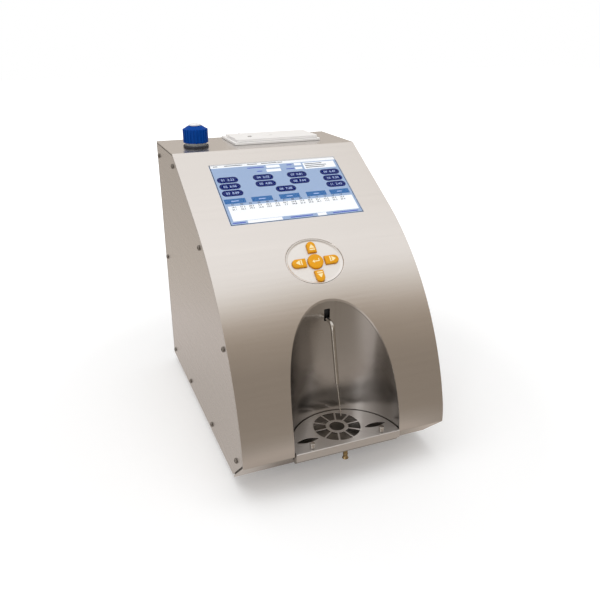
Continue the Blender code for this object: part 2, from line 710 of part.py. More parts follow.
def build_screws(case):
    """Each row of panel screws with the nut strip that it threads into."""
    for side_name, side in (("left", -1), ("right", 1)):
        for row, places in screw_rows():
            name = f"screw_row_{side_name}_{row}"
            ends = (side * STRIP_OUTER, side * (STRIP_OUTER - NUT_STRIP_THICKNESS))
            strip = loft(bmesh.new(), side_rings(strip_outline(places), *ends))
            strip = add(name, strip, case, POLISHED)
            heads = bmesh.new()
            for y, z in places:
                loft(heads, screw_head(side, y, z))
            join(strip, add(name + "_tool", heads, case))


def build_liner(case):
    """The half-cylinder wall and floor of the sample bay, trimmed to the inside of the cover."""
    outer = d_outline(BAY_RADIUS + LINER_WALL, 2 * LINER_WALL, BAY_STEPS)
    inner = d_outline(BAY_RADIUS, LINER_WALL, BAY_STEPS)
    bottom = BAY_FLOOR - LINER_WALL
    rings = raised(outer, bottom, CASE_HEIGHT) + raised(inner, CASE_HEIGHT, BAY_FLOOR)
    liner = add("recess_liner", loft(bmesh.new(), rings), case, DARK_STEEL)
    inside = front_profile(SHEET + GAP, SHEET) + [(SLOPE_SETBACK, SHEET)]
    reach = BAY_RADIUS + LINER_WALL + OVERRUN
    inside = add("inside_tool", loft(bmesh.new(), side_rings(inside, -reach, reach)), case)
    combine(liner, inside, "INTERSECT")
    half = TUBE_SLOT_WIDTH / 2
    slot = boxes(((-half, BAY_RADIUS - OVERRUN, TUBE_SLOT_LOW), (half, reach, TUBE_SLOT_HIGH)))
    cut(liner, add("tube_slot_cutter", slot, case))


def ring_slot(index):
    """One trapezoid of the tray's ring, between straight bars."""
    middle, half = 2 * pi * (index + 0.5) / RING_SLOTS, pi / RING_SLOTS
    inner_half = half - asin(RING_BAR / 2 / RING_INNER_RADIUS)
    outer_half = half - asin(RING_BAR / 2 / RING_OUTER_RADIUS)
    corners = (
        (RING_INNER_RADIUS, -inner_half),
        (RING_OUTER_RADIUS, -outer_half),
        (RING_OUTER_RADIUS, 0),
        (RING_OUTER_RADIUS, outer_half),
        (RING_INNER_RADIUS, inner_half),
    )
    return [(r * cos(middle + turn), RING_CENTRE + r * sin(middle + turn)) for r, turn in corners]


def lens_outline(x, y):
    """A lens of two arcs, pointed at both ends."""
    half, bulge = LENS_LENGTH / 2, LENS_WIDTH / 2
    radius = (half * half + bulge * bulge) / (2 * bulge)
    spread = asin(half / radius)
    turns = [-spread + 2 * spread * step / LENS_STEPS for step in range(LENS_STEPS)]
    upper = [(x + radius * sin(turn), y + radius * cos(turn) - radius + bulge) for turn in turns]
    return upper + [(2 * x - px, 2 * y - py) for px, py in upper]


def tray_cutter(case):
    """A cutter for the ring of slots, the centre hole, the two lenses and the stud holes."""
    holes = bmesh.new()
    low, high = TRAY_BOTTOM - TRAY_SHEET, TRAY_TOP + TRAY_SHEET
    outlines = [ring_slot(index) for index in range(RING_SLOTS)]
    outlines.append(circle(RING_HOLE_RADIUS, ROUND_SIDES, 0, RING_CENTRE))
    for side in (-1, 1):
        outlines.append(lens_outline(side * LENS_X, LENS_Y))
        outlines.append(circle(STUD_SHANK_RADIUS + GAP, SMALL_SIDES, side * STUD_X, STUD_Y))
    for outline in outlines:
        loft(holes, raised(outline, low, high))
    return add("tray_cutter", holes, case)


def build_tray(case):
    """The perforated tray with its lip, and its two studs."""
    width = BAY_RADIUS - TRAY_SIDE_GAP
    plate = raised(d_outline(width, TRAY_LIP_REACH, TRAY_STEPS), TRAY_BOTTOM, TRAY_TOP)
    tray = add("drip_tray", loft(bmesh.new(), plate), case, STEEL)
    low = (-width, -TRAY_LIP_REACH, TRAY_TOP - TRAY_LIP_HEIGHT)
    lip = boxes((low, (width, TRAY_SHEET - TRAY_LIP_REACH, TRAY_TOP - TRAY_SHEET / 2)))
    join(tray, add("lip_tool", lip, case))
    cut(tray, tray_cutter(case))
    seat = TRAY_TOP + GAP
    stations = [
        (STUD_SHANK_RADIUS, seat - STUD_SHANK_LENGTH),
        (STUD_SHANK_RADIUS, seat),
        (STUD_RADIUS, seat),
        (STUD_RADIUS, seat + STUD_HEIGHT - STUD_EDGE),
        (STUD_RADIUS - STUD_EDGE, seat + STUD_HEIGHT),
    ]
    for name, side in (("left", -1), ("right", 1)):
        add("tray_stud_" + name, turned(stations, SMALL_SIDES, side * STUD_X, STUD_Y), case, POLISHED)


def build_pan(case):
    """The pan under the tray and the brass nozzle that drains it."""
    outer = d_outline(PAN_RADIUS, PAN_FRONT, TRAY_STEPS)
    inner = d_outline(PAN_RADIUS - PAN_WALL, PAN_FRONT - PAN_WALL, TRAY_STEPS)
    top, floor = TRAY_BOTTOM - GAP, PAN_BOTTOM + PAN_WALL
    pan = loft(bmesh.new(), raised(outer, PAN_BOTTOM, top) + raised(inner, top, floor))
    pan = add("drip_pan", pan, case, DARK_STEEL)
    hole = NOZZLE_RADIUS + GAP
    drain = turned([(hole, PAN_BOTTOM - OVERRUN), (hole, floor + OVERRUN)], SMALL_SIDES, 0, NOZZLE_Y)
    cut(pan, add("drain_cutter", drain, case))
    seat = floor + GAP
    stations = [
        (NOZZLE_HEAD_RADIUS, seat + NOZZLE_HEAD_HEIGHT),
        (NOZZLE_HEAD_RADIUS, seat),
        (NOZZLE_RADIUS, seat),
        (NOZZLE_RADIUS, NOZZLE_TIP + NOZZLE_FLARE_HEIGHT),
        (NOZZLE_FLARE_RADIUS, NOZZLE_TIP),
        (NOZZLE_BORE_RADIUS, NOZZLE_TIP),
        (NOZZLE_BORE_RADIUS, seat + NOZZLE_HEAD_HEIGHT),
    ]
    add("drain_nozzle", turned(stations, SMALL_SIDES, 0, NOZZLE_Y, closed=True), case, BRASS)


def round_tube(name, points, radius, look, parent, resolution=2):
    """A round rod along points, with filled ends."""
    curve = bpy.data.curves.new(name, "CURVE")
    curve.dimensions = "3D"
    curve.bevel_depth = radius
    curve.bevel_resolution = resolution
    curve.use_fill_caps = True
    spline = curve.splines.new("POLY")
    spline.points.add(len(points) - 1)
    for point, place in zip(spline.points, points):
        point.co = (*place, 1)
    curve.materials.append(finish(name + "_finish", look))
    tube = bpy.data.objects.new(name, curve)
    tube.parent = parent
    bpy.context.scene.collection.objects.link(tube)
    return tube


def rounded_corner(start, corner, end, radius, steps):
    """Points from start to end with the corner rounded to a radius."""
    first, second = (start - corner).normalized(), (end - corner).normalized()
    half = first.angle(second) / 2
    centre = corner + (first + second).normalized() * (radius / sin(half))
    spoke = corner + first * (radius / tan(half)) - centre
    axis = spoke.cross(corner + second * (radius / tan(half)) - centre).normalized()
    turns = [(pi - 2 * half) * step / steps for step in range(steps + 1)]
    bend = [centre + Matrix.Rotation(turn, 3, axis) @ spoke for turn in turns]
    return [start, *bend, end]


def build_tube(case):
    """The bent sleeve in front of its holder, with the needle that it carries."""
    run = (TUBE_BEND - TUBE_START).normalized()
    front = PIVOT_Y - HOLDER_DEPTH / 2
    start = TUBE_START + run * ((front - TUBE_START.y) / run.y + GAP)
    points = rounded_corner(start, TUBE_BEND, TUBE_END, TUBE_BEND_RADIUS, TUBE_BEND_STEPS)
    down = (NEEDLE_TIP - TUBE_END).normalized()
    tube = round_tube("sampling_tube", points, TUBE_RADIUS, POLISHED, case, 3)
    needle = round_tube("needle", [TUBE_END + down * 2 * GAP, NEEDLE_TIP], NEEDLE_RADIUS, POLISHED, case)
    return tube, needle


def build_sampler(case):
    """The tilting sampling tube: pin, holder, sleeve and needle, in a fixed bracket behind the bay."""
    pivot = Vector((0, PIVOT_Y, PIVOT_Z))
    size = Vector((HOLDER_WIDTH, HOLDER_DEPTH, HOLDER_HEIGHT))
    holder = add("tube_holder", boxes((pivot - size / 2, pivot + size / 2)), case, BLACK_PLASTIC)
    inner = HOLDER_WIDTH / 2 + EAR_GAP
    outer, back = inner + EAR_THICKNESS, BAY_RADIUS + LINER_WALL + GAP
    low, high = PIVOT_Z - EAR_HEIGHT / 2, PIVOT_Z + EAR_HEIGHT / 2
    ears = [boxes(((side * inner, back, low), (side * outer, EAR_REAR, high))) for side in (-1, 1)]
    bracket = add("tube_bracket", ears[0], case, STEEL)
    bridge = boxes(((-outer, EAR_REAR - EAR_THICKNESS, low), (outer, EAR_REAR, low + 2 * EAR_THICKNESS)))
    join(bracket, add("ear_tool", ears[1], case), add("bridge_tool", bridge, case))
    end = outer + PIN_END
    reach = end + OVERRUN
    hole = laid(turned([(PIN_HOLE_RADIUS, -reach), (PIN_HOLE_RADIUS, reach)], SMALL_SIDES), "X")
    hole = add("pin_hole_cutter", moved(hole, *pivot), case)
    cut(holder, hole)
    cut(bracket, hole)
    pin = laid(turned([(PIN_RADIUS, -end), (PIN_RADIUS, end)], SMALL_SIDES), "X")
    pin = add("tube_pivot_pin", moved(pin, *pivot), case, POLISHED)
    for piece in (holder, pin, *build_tube(case)):
        set_origin(piece, pivot)


def build_display(slope):
    """The touch glass, the display module, its bracket and the main board, square to the slope."""
    middle = -(WINDOW_TOP + WINDOW_HEIGHT / 2)
    depth = SHEET + GLASS_GAP
    layers = (
        ("touch_glass", GLASS_MARGIN, GLASS_THICKNESS, BLACK_PLASTIC),
        ("lcd_module", LCD_MARGIN, LCD_THICKNESS, SCREEN_BLUE),
    )
    for name, margin, thickness, look in layers:
        half_x, half_y = WINDOW_WIDTH / 2 + margin, WINDOW_HEIGHT / 2 + margin
        low = (-half_x, middle - half_y, -depth - thickness)
        add(name, boxes((low, (half_x, middle + half_y, -depth))), slope, look)
        depth += thickness + GAP
    build_bracket(slope, depth)


def build_bracket(slope, depth):
    """The sheet bracket behind the display, with a leg at each side and posts for the main board."""
    outer, inner = BRACKET_OUTER, BRACKET_OUTER - BRACKET_SHEET
    back = -depth - BRACKET_SHEET
    plate = boxes(((-outer, -BRACKET_BOTTOM, back), (outer, -BRACKET_TOP, -depth)))
    bracket = add("display_bracket", plate, slope, STEEL)
    legs = boxes(*[
        ((side * inner, -BRACKET_BOTTOM, back), (side * outer, -BRACKET_TOP, -SHEET - GAP))
        for side in (-1, 1)
    ])
    half_x, half_y = MAIN_BOARD_WIDTH / 2, MAIN_BOARD_HEIGHT / 2
    centre = -(BRACKET_TOP + BRACKET_BOTTOM) / 2
    seat = back - BOARD_POST_HEIGHT
    ends = [(BOARD_POST_RADIUS, seat), (BOARD_POST_RADIUS, back + BRACKET_SHEET / 2)]
    posts = bmesh.new()
    for side in (-1, 1):
        for end in (-1, 1):
            x, y = side * (half_x - MAIN_BOARD_INSET), centre + end * (half_y - MAIN_BOARD_INSET)
            turned(ends, SMALL_SIDES, x, y, shape=posts)
    join(bracket, add("leg_tool", legs, slope), add("board_post_tool", posts, slope))
    low = (-half_x, centre - half_y, seat - GAP - BOARD_THICKNESS)
    add("main_board", boxes((low, (half_x, centre + half_y, seat - GAP))), slope, BOARD_GREEN)


def key_outline(outer, grow=0.0):
    """A key with a straight inner end and a round outer end, pointing along +X."""
    half = KEY_WIDTH / 2 + grow
    centre = outer - KEY_WIDTH / 2
    turns = [-pi / 2 + pi * step / KEY_ARC_STEPS for step in range(KEY_ARC_STEPS + 1)]
    arc = [(centre + half * cos(turn), half * sin(turn)) for turn in turns]
    return [(KEY_INNER - grow, -half)] + arc + [(KEY_INNER - grow, half)]


def key_shapes():
    """Each key's name, its outline for a growth, and its turn about the keypad's normal."""
    across, up = KEY_OUTER_ACROSS, KEY_OUTER_UP
    return (
        ("key_enter", lambda grow=0.0: circle(KEY_ROUND_RADIUS + grow), 0),
        ("key_right", lambda grow=0.0: key_outline(across, grow), 0),
        ("key_up", lambda grow=0.0: key_outline(up, grow), pi / 2),
        ("key_left", lambda grow=0.0: key_outline(across, grow), pi),
        ("key_down", lambda grow=0.0: key_outline(up, grow), -pi / 2),
    )


def spun(outline, turn):
    """An outline turned about the origin."""
    return [(x * cos(turn) - y * sin(turn), x * sin(turn) + y * cos(turn)) for x, y in outline]


def build_dish(keypad):
    """The oval dish, with a flange behind the cover and four posts for the key board."""
    pad = ellipse(OVAL_WIDTH - 2 * PAD_GAP, OVAL_HEIGHT - 2 * PAD_GAP, OVAL_SIDES)
    dish = add("keypad_dish", loft(bmesh.new(), raised(pad, -DISH_BACK, -PAD_DEPTH)), keypad, SILVER_PLASTIC)
    half_x, half_y = DISH_FLANGE_WIDTH / 2, DISH_FLANGE_HEIGHT / 2
    flange = boxes(((-half_x, -half_y, -DISH_BACK), (half_x, half_y, -DISH_FLANGE_DEPTH)))
    ends = [
        (DISH_POST_RADIUS, GAP - KEYPAD_BOARD_DEPTH),
        (DISH_POST_RADIUS, -(DISH_BACK + DISH_FLANGE_DEPTH) / 2),
    ]
    posts, holes = bmesh.new(), bmesh.new()
    for side in (-1, 1):
        for end in (-1, 1):
            x, y = side * (half_x - DISH_POST_INSET), end * (half_y - DISH_POST_INSET)
            turned(ends, SMALL_SIDES, x, y, shape=posts)
    join(dish, add("dish_flange_tool", flange, keypad), add("dish_post_tool", posts, keypad))
    for _, outline, turn in key_shapes():
        loft(holes, raised(spun(outline(KEY_HOLE_GAP), turn), -DISH_BACK - OVERRUN, OVERRUN))
    cut(dish, add("key_hole_cutter", holes, keypad))


def build_keys(keypad):
    """Five domed keys, each held under the dish by its flange."""
    foot, top = -DISH_BACK - GAP, KEY_RISE - PAD_DEPTH
    levels = (
        (KEY_FLANGE, foot - KEY_FLANGE_THICKNESS),
        (KEY_FLANGE, foot),
        (0, foot),
        (0, top - KEY_EDGE),
        (-KEY_EDGE, top),
        (-KEY_CROWN_INSET, top + KEY_DOME),
    )
    for name, outline, turn in key_shapes():
        rings = [[(x, y, z) for x, y in spun(outline(grow), turn)] for grow, z in levels]
        add(name, loft(bmesh.new(), rings), keypad, AMBER)


def build_key_board(keypad):
    """The board behind the dish, with a switch under each key that its full travel just clears."""
    half_x, half_y = DISH_FLANGE_WIDTH / 2, DISH_FLANGE_HEIGHT / 2
    low = (-half_x, -half_y, -KEYPAD_BOARD_DEPTH - BOARD_THICKNESS)
    board = add("keypad_board", boxes((low, (half_x, half_y, -KEYPAD_BOARD_DEPTH))), keypad, BOARD_GREEN)
    top = -DISH_BACK - GAP - KEY_FLANGE_THICKNESS - KEY_TRAVEL - GAP
    half, spans = SWITCH_SIZE / 2, []
    for _, outline, turn in key_shapes():
        ends = [x for x, _ in outline()]
        reach = (min(ends) + max(ends)) / 2
        x, y = reach * cos(turn), reach * sin(turn)
        low = (x - half, y - half, -KEYPAD_BOARD_DEPTH - BOARD_THICKNESS / 2)
        spans.append((low, (x + half, y + half, top)))
    join(board, add("switch_tool", boxes(*spans), keypad))


def cap_ring(radius, height):
    """One ring of the ribbed cap, with ribs that stand out at every other point."""
    points = []
    for index in range(2 * CAP_RIBS):
        turn = pi * index / CAP_RIBS
        reach = radius - (index % 2) * CAP_RIB
        points.append((BOTTLE_X + reach * cos(turn), BOTTLE_Y + reach * sin(turn), height))
    return points


def build_bottle(case):
    """The open bottle in its well."""
    inner, bore = BOTTLE_RADIUS - BOTTLE_WALL, BOTTLE_RADIUS + WELL_HOLE_GAP
    stations = [
        (BOTTLE_RADIUS, BOTTLE_BOTTOM),
        (BOTTLE_RADIUS, BOTTLE_TOP),
        (inner, BOTTLE_TOP),
        (inner, BOTTLE_BOTTOM + BOTTLE_WALL),
    ]
    bottle = add("bottle", turned(stations, x=BOTTLE_X, y=BOTTLE_Y), case, CLEAR_PLASTIC)
    set_origin(bottle, (BOTTLE_X, BOTTLE_Y, CASE_HEIGHT))
    rim, seat = CASE_HEIGHT - SHEET - GAP, BOTTLE_BOTTOM - GAP
    stations = [
        (bore + WELL_WALL, seat - WELL_WALL),
        (bore + WELL_WALL, rim - WELL_WALL),
        (bore + WELL_FLANGE, rim - WELL_WALL),
        (bore + WELL_FLANGE, rim),
        (bore, rim),
        (bore, seat),
    ]
    add("bottle_well", turned(stations, x=BOTTLE_X, y=BOTTLE_Y), case, BLACK_PLASTIC)


def build_cap(case):
    """The ribbed cap over the bottle's mouth and the disc pegged into its top."""
    base, bore = CASE_HEIGHT + CAP_BASE, CAP_RADIUS - CAP_WALL
    levels = (
        (CAP_TOP_RADIUS, CAP_TOP),
        (CAP_RADIUS - CAP_RIB, CAP_TOP - CAP_CHAMFER),
        (CAP_RADIUS, CAP_TOP - CAP_CHAMFER - CAP_RIB),
        (CAP_RADIUS, base + CAP_FOOT_CHAMFER),
        (CAP_RADIUS - CAP_RIB, base),
        (bore, base),
        (bore, CAP_TOP - CAP_ROOF),
    )
    cap = add("bottle_cap", loft(bmesh.new(), [cap_ring(*level) for level in levels]), case, BLUE_PLASTIC)
    peg = DISC_PEG_RADIUS + GAP
    ends = [(peg, CAP_TOP - DISC_PEG_LENGTH - GAP), (peg, CAP_TOP + OVERRUN)]
    cut(cap, add("disc_cutter", turned(ends, SMALL_SIDES, BOTTLE_X, BOTTLE_Y), case))
    seat = CAP_TOP + GAP
    stations = [
        (DISC_PEG_RADIUS, seat - DISC_PEG_LENGTH),
        (DISC_PEG_RADIUS, seat),
        (DISC_RADIUS, seat),
        (DISC_RADIUS, seat + DISC_HEIGHT),
    ]
    disc = add("cap_disc", turned(stations, x=BOTTLE_X, y=BOTTLE_Y), case, WHITE_PLASTIC)
    for piece in (cap, disc):
        set_origin(piece, (BOTTLE_X, BOTTLE_Y, CAP_TOP))


def rod(radius, half_length, sides, y, z):
    """A rod along X, centred on the printer."""
    return moved(laid(turned([(radius, -half_length), (radius, half_length)], sides), "X"), PRINTER_X, y, z)


def build_printer_body(case):
    """The printer's flange and paper bucket."""
    low, high = PRINTER_X - PRINTER_WIDTH / 2, PRINTER_X + PRINTER_WIDTH / 2
    seat, rear = CASE_HEIGHT + GAP, PRINTER_FRONT + PRINTER_DEPTH
    flange = boxes(((low, PRINTER_FRONT, seat), (high, rear, seat + PRINTER_FLANGE)))
    body = add("printer_body", flange, case, WHITE_PLASTIC)
    left, right = PRINTER_X - BUCKET_HALF, PRINTER_X + BUCKET_HALF
    bucket = boxes(((left, BUCKET_FRONT, BUCKET_BOTTOM), (right, BUCKET_REAR, seat + PRINTER_FLANGE / 2)))
    join(body, add("bucket_tool", bucket, case))
    hollow = boxes((
        (left + BUCKET_WALL, BUCKET_FRONT + BUCKET_WALL, BUCKET_BOTTOM + BUCKET_WALL),
        (right - BUCKET_WALL, BUCKET_REAR - BUCKET_WALL, CASE_HEIGHT + OVERRUN),
    ))
    reach = BUCKET_HALF - BUCKET_WALL + LID_PIN_RADIUS
    bore = rod(LID_PIN_BORE, reach, SMALL_SIDES, LID_PIVOT_Y, LID_PIVOT_Z)
    cut(body, add("bucket_cutter", hollow, case), add("lid_pin_cutter", bore, case))


def build_paper(case):
    """The print head on the bucket's front wall and the roll that lies in the bucket."""
    head = boxes((
        (PRINTER_X - HEAD_WIDTH / 2, BUCKET_FRONT + BUCKET_WALL + GAP, PLATEN_Z - HEAD_HEIGHT / 2),
        (PRINTER_X + HEAD_WIDTH / 2, PLATEN_Y - PLATEN_RADIUS - HEAD_GAP, PLATEN_Z + HEAD_HEIGHT / 2),
    ))
    add("print_head", head, case, ALUMINIUM)
    roll_z = BUCKET_BOTTOM + BUCKET_WALL + GAP + ROLL_RADIUS
    roll_y = (PLATEN_Y + PLATEN_RADIUS + LID_PIVOT_Y) / 2
    half = ROLL_WIDTH / 2
    stations = [
        (ROLL_RADIUS, -half),
        (ROLL_RADIUS, half),
        (ROLL_BORE_RADIUS, half),
        (ROLL_BORE_RADIUS, -half),
    ]
    add("paper_roll", laid(turned(stations, closed=True), "X"), case, PAPER, (PRINTER_X, roll_y, roll_z))


def lid_outline():
    """The lid from above, with a notch at each rear corner for its hinge."""
    wide, front, notch = PRINTER_WIDTH / 2 - LID_INSET, PRINTER_FRONT + LID_INSET, LID_PIVOT_Y - LID_NOTCH
    half = [(wide, front), (wide, notch), (LID_HALF, notch), (LID_HALF, LID_PIVOT_Y)]
    return [(PRINTER_X + x, y) for x, y in half] + [(PRINTER_X - x, y) for x, y in half[::-1]]


def bevel_lid(lid):
    """Bevels the upper edges of the lid, apart from the one that meets its barrel."""
    bevel = lid.modifiers.new("bevel", "BEVEL")
    bevel.width = LID_BEVEL
    bevel.segments = 1
    bevel.limit_method = "WEIGHT"
    weights = lid.data.attributes.new("bevel_weight_edge", "FLOAT", "EDGE")
    for edge in lid.data.edges:
        ends = [lid.data.vertices[index].co for index in edge.vertices]
        on_top = all(abs(end.z - LID_TOP) < GAP for end in ends)
        in_front = any(end.y < LID_PIVOT_Y - LID_NOTCH / 2 for end in ends)
        weights.data[edge.index].value = float(on_top and in_front)


def feed_outline(grow=0.0):
    """The feed button from above, a short oblong with round ends."""
    radius, half = FEED_WIDTH / 2 + grow, (FEED_LENGTH - FEED_WIDTH) / 2
    turns = [-pi / 2 + pi * step / FEED_ARC_STEPS for step in range(FEED_ARC_STEPS + 1)]
    right = [(half + radius * cos(turn), radius * sin(turn)) for turn in turns]
    return [(FEED_X + x, FEED_Y + y) for x, y in right + [(-x, -y) for x, y in right]]


def build_lid(case):
    """The printer's lid with its hinge barrel and the ears that carry the platen."""
    plate = loft(bmesh.new(), raised(lid_outline(), LID_BOTTOM, LID_TOP))
    lid = add("printer_lid", plate, case, WHITE_PLASTIC)
    bevel_lid(lid)
    barrel = add("barrel_tool", rod(LID_BARREL_RADIUS, LID_HALF, ROUND_SIDES, LID_PIVOT_Y, LID_PIVOT_Z), case)
    half, top = LID_EAR_WIDTH / 2, LID_BOTTOM + LID_THICKNESS / 2
    ears = boxes(*[
        (
            (PRINTER_X + side * PLATEN_EAR_X, PLATEN_Y - half, PLATEN_Z - half),
            (PRINTER_X + side * (PLATEN_EAR_X + LID_EAR), PLATEN_Y + half, top),
        )
        for side in (-1, 1)
    ])
    join(lid, barrel, add("platen_ear_tool", ears, case))
    bore = rod(LID_PIN_BORE, LID_HALF + OVERRUN, SMALL_SIDES, LID_PIVOT_Y, LID_PIVOT_Z)
    shaft = rod(PLATEN_SHAFT_HOLE, PLATEN_EAR_X + LID_EAR + OVERRUN, SMALL_SIDES, PLATEN_Y, PLATEN_Z)
    button = loft(bmesh.new(), raised(feed_outline(FEED_GAP), LID_BOTTOM - OVERRUN, LID_TOP + OVERRUN))
    cut(lid, add("barrel_bore_cutter", bore, case), add("shaft_hole_cutter", shaft, case))
    cut(lid, add("feed_hole_cutter", button, case))
    set_origin(lid, (PRINTER_X, LID_PIVOT_Y, LID_PIVOT_Z))


def build_lid_parts(case):
    """The lid's hinge pin, its platen roller and its feed button."""
    reach = BUCKET_HALF - BUCKET_WALL + LID_PIN_RADIUS / 2
    pin = rod(LID_PIN_RADIUS, reach, SMALL_SIDES, LID_PIVOT_Y, LID_PIVOT_Z)
    add("lid_hinge_pin", pin, case, POLISHED)
    half, shaft = PLATEN_LENGTH / 2, PLATEN_EAR_X + LID_EAR + GAP
    stations = [
        (PLATEN_SHAFT_RADIUS, -shaft),
        (PLATEN_SHAFT_RADIUS, -half),
        (PLATEN_RADIUS, -half),
        (PLATEN_RADIUS, half),
        (PLATEN_SHAFT_RADIUS, half),
        (PLATEN_SHAFT_RADIUS, shaft),
    ]
    add("platen_roller", laid(turned(stations), "X"), case, RUBBER, (PRINTER_X, PLATEN_Y, PLATEN_Z))
    foot = LID_BOTTOM - GAP
    levels = (
        (FEED_FLANGE, foot - FEED_FLANGE_THICKNESS),
        (FEED_FLANGE, foot),
        (0, foot),
        (0, LID_TOP + FEED_RISE),
    )
    rings = [[(*point, z) for point in feed_outline(grow)] for grow, z in levels]
    button = add("feed_button", loft(bmesh.new(), rings), case, SILVER_PLASTIC)
    set_origin(button, (FEED_X, FEED_Y, LID_TOP))


def smooth_route(points, count):
    """Points of an even curve through a few places."""
    route = []
    spans = len(points) - 1
    for step in range(count + 1):
        place = spans * step / count
        index = min(int(place), spans - 1)
        share = place - index
        start, end = points[index], points[index + 1]
        leave = (end - points[max(index - 1, 0)]) / 2
        reach = (points[min(index + 2, spans)] - start) / 2
        cube, square = share**3, share**2
        near = start * (2 * cube - 3 * square + 1) + leave * (cube - 2 * square + share)
        far = end * (3 * square - 2 * cube) + reach * (cube - square)
        route.append(near + far)
    return route


def build_sensor(case):
    """The ultrasonic sensor block with its two ports, and the power supply beside it."""
    low = SENSOR_LOW + Vector((0, 0, BASE_SEAT))
    sensor = add("ultrasonic_sensor", boxes((low, low + SENSOR_SIZE)), case, ALUMINIUM)
    ends = [(SENSOR_PORT_RADIUS, SENSOR_TOP - 2 * SENSOR_PORT_HEIGHT), (SENSOR_PORT_RADIUS, SENSOR_TOP)]
    ports = bmesh.new()
    for y in SENSOR_PORTS:
        turned(ends, SMALL_SIDES, SENSOR_MIDDLE, y, shape=ports)
    join(sensor, add("sensor_port_tool", ports, case))
    low = SUPPLY_LOW + Vector((0, 0, BASE_SEAT))
    add("power_supply", boxes((low, low + SUPPLY_SIZE)), case, ALUMINIUM)


def build_pump(case):
    """The pump's head with its chamber, port, rotor and motor."""
    half, rear = PUMP_WIDTH / 2, PUMP_FRONT + PUMP_DEPTH
    head = boxes(((PUMP_X - half, PUMP_FRONT, BASE_SEAT), (PUMP_X + half, rear, PUMP_TOP)))
    head = add("pump_head", head, case, BLACK_PLASTIC)
    floor, bore = PUMP_FRONT + PUMP_CHAMBER_DEPTH, PUMP_SHAFT_RADIUS + PUMP_SHAFT_GAP
    stations = [
        (PUMP_CHAMBER_RADIUS, PUMP_FRONT - OVERRUN),
        (PUMP_CHAMBER_RADIUS, floor),
        (bore, floor),
        (bore, rear + OVERRUN),
    ]
    cut(head, add("chamber_cutter", moved(laid(turned(stations), "Y"), PUMP_X, 0, PUMP_Z), case))
    ends = [(SENSOR_PORT_RADIUS, PUMP_TOP + GAP), (SENSOR_PORT_RADIUS, PUMP_TOP + SENSOR_PORT_HEIGHT)]
    add("pump_port", turned(ends, SMALL_SIDES, PUMP_X, PUMP_PORT_Y), case, WHITE_PLASTIC)
    add("pump_rotor", rotor_shape(), case, WHITE_PLASTIC, (PUMP_X, PUMP_FRONT, PUMP_Z))
    ends = [(MOTOR_RADIUS, rear + GAP), (MOTOR_RADIUS, rear + MOTOR_LENGTH)]
    add("pump_motor", moved(laid(turned(ends), "Y"), PUMP_X, 0, PUMP_Z), case, STEEL)


def rotor_shape():
    """A rotor about Y with rollers round it, and its shaft to the rear."""
    count = ROLLER_POINTS * PUMP_ROLLERS
    turns = [2 * pi * index / count for index in range(count)]
    swell = (PUMP_ROTOR_RADIUS - PUMP_ROTOR_WAIST) / 2
    wide = [PUMP_ROTOR_WAIST + swell * (1 + cos(PUMP_ROLLERS * turn)) for turn in turns]
    narrow = [PUMP_SHAFT_RADIUS] * count
    back = PUMP_CHAMBER_DEPTH - GAP
    levels = ((wide, back - PUMP_ROTOR_LENGTH), (wide, back), (narrow, back), (narrow, PUMP_DEPTH))
    rings = [[(r * cos(turn), r * sin(turn), z) for r, turn in zip(reaches, turns)] for reaches, z in levels]
    return laid(loft(bmesh.new(), rings), "Y")


def build_hoses(case):
    """The hose from the sampler to the sensor, and the one from the sensor to the pump."""
    up, onward = Vector((0, 0, HOSE_LEG)), Vector((0, HOSE_LEG, 0))
    sampler = Vector((0, EAR_REAR + GAP, PIVOT_Z - EAR_HEIGHT / 2 + EAR_THICKNESS))
    ports = [Vector((SENSOR_MIDDLE, y, SENSOR_TOP + GAP)) for y in SENSOR_PORTS]
    pump = Vector((PUMP_X, PUMP_PORT_Y, PUMP_TOP + SENSOR_PORT_HEIGHT + GAP))
    hoses = (("sample_hose", sampler, onward, ports[0]), ("pump_hose", ports[1], up, pump))
    for name, first, way, last in hoses:
        middle = (first + last) / 2 + Vector((0, 0, HOSE_RISE))
        bends = [first + way, first + HOSE_REACH * way, middle, last + HOSE_REACH * up, last + up]
        route = [first, *smooth_route(bends, HOSE_POINTS), last]
        round_tube(name, route, HOSE_RADIUS, CLEAR_PLASTIC, case, 1)


def blade_spans(floor):
    """The three pins that stand on the floor of the inlet's cavity."""
    spans = []
    for index in (-1, 0, 1):
        x, z = INLET_X + PLUG_CAVITY_X + index * PIN_PITCH, INLET_Z + PIN_OFFSET * (1 - 2 * abs(index))
        low = (x - PIN_BLADE.x / 2, floor - PIN_BLADE.x, z - PIN_BLADE.z / 2)
        spans.append((low, (x + PIN_BLADE.x / 2, floor + PIN_BLADE.y, z + PIN_BLADE.z / 2)))
    return spans


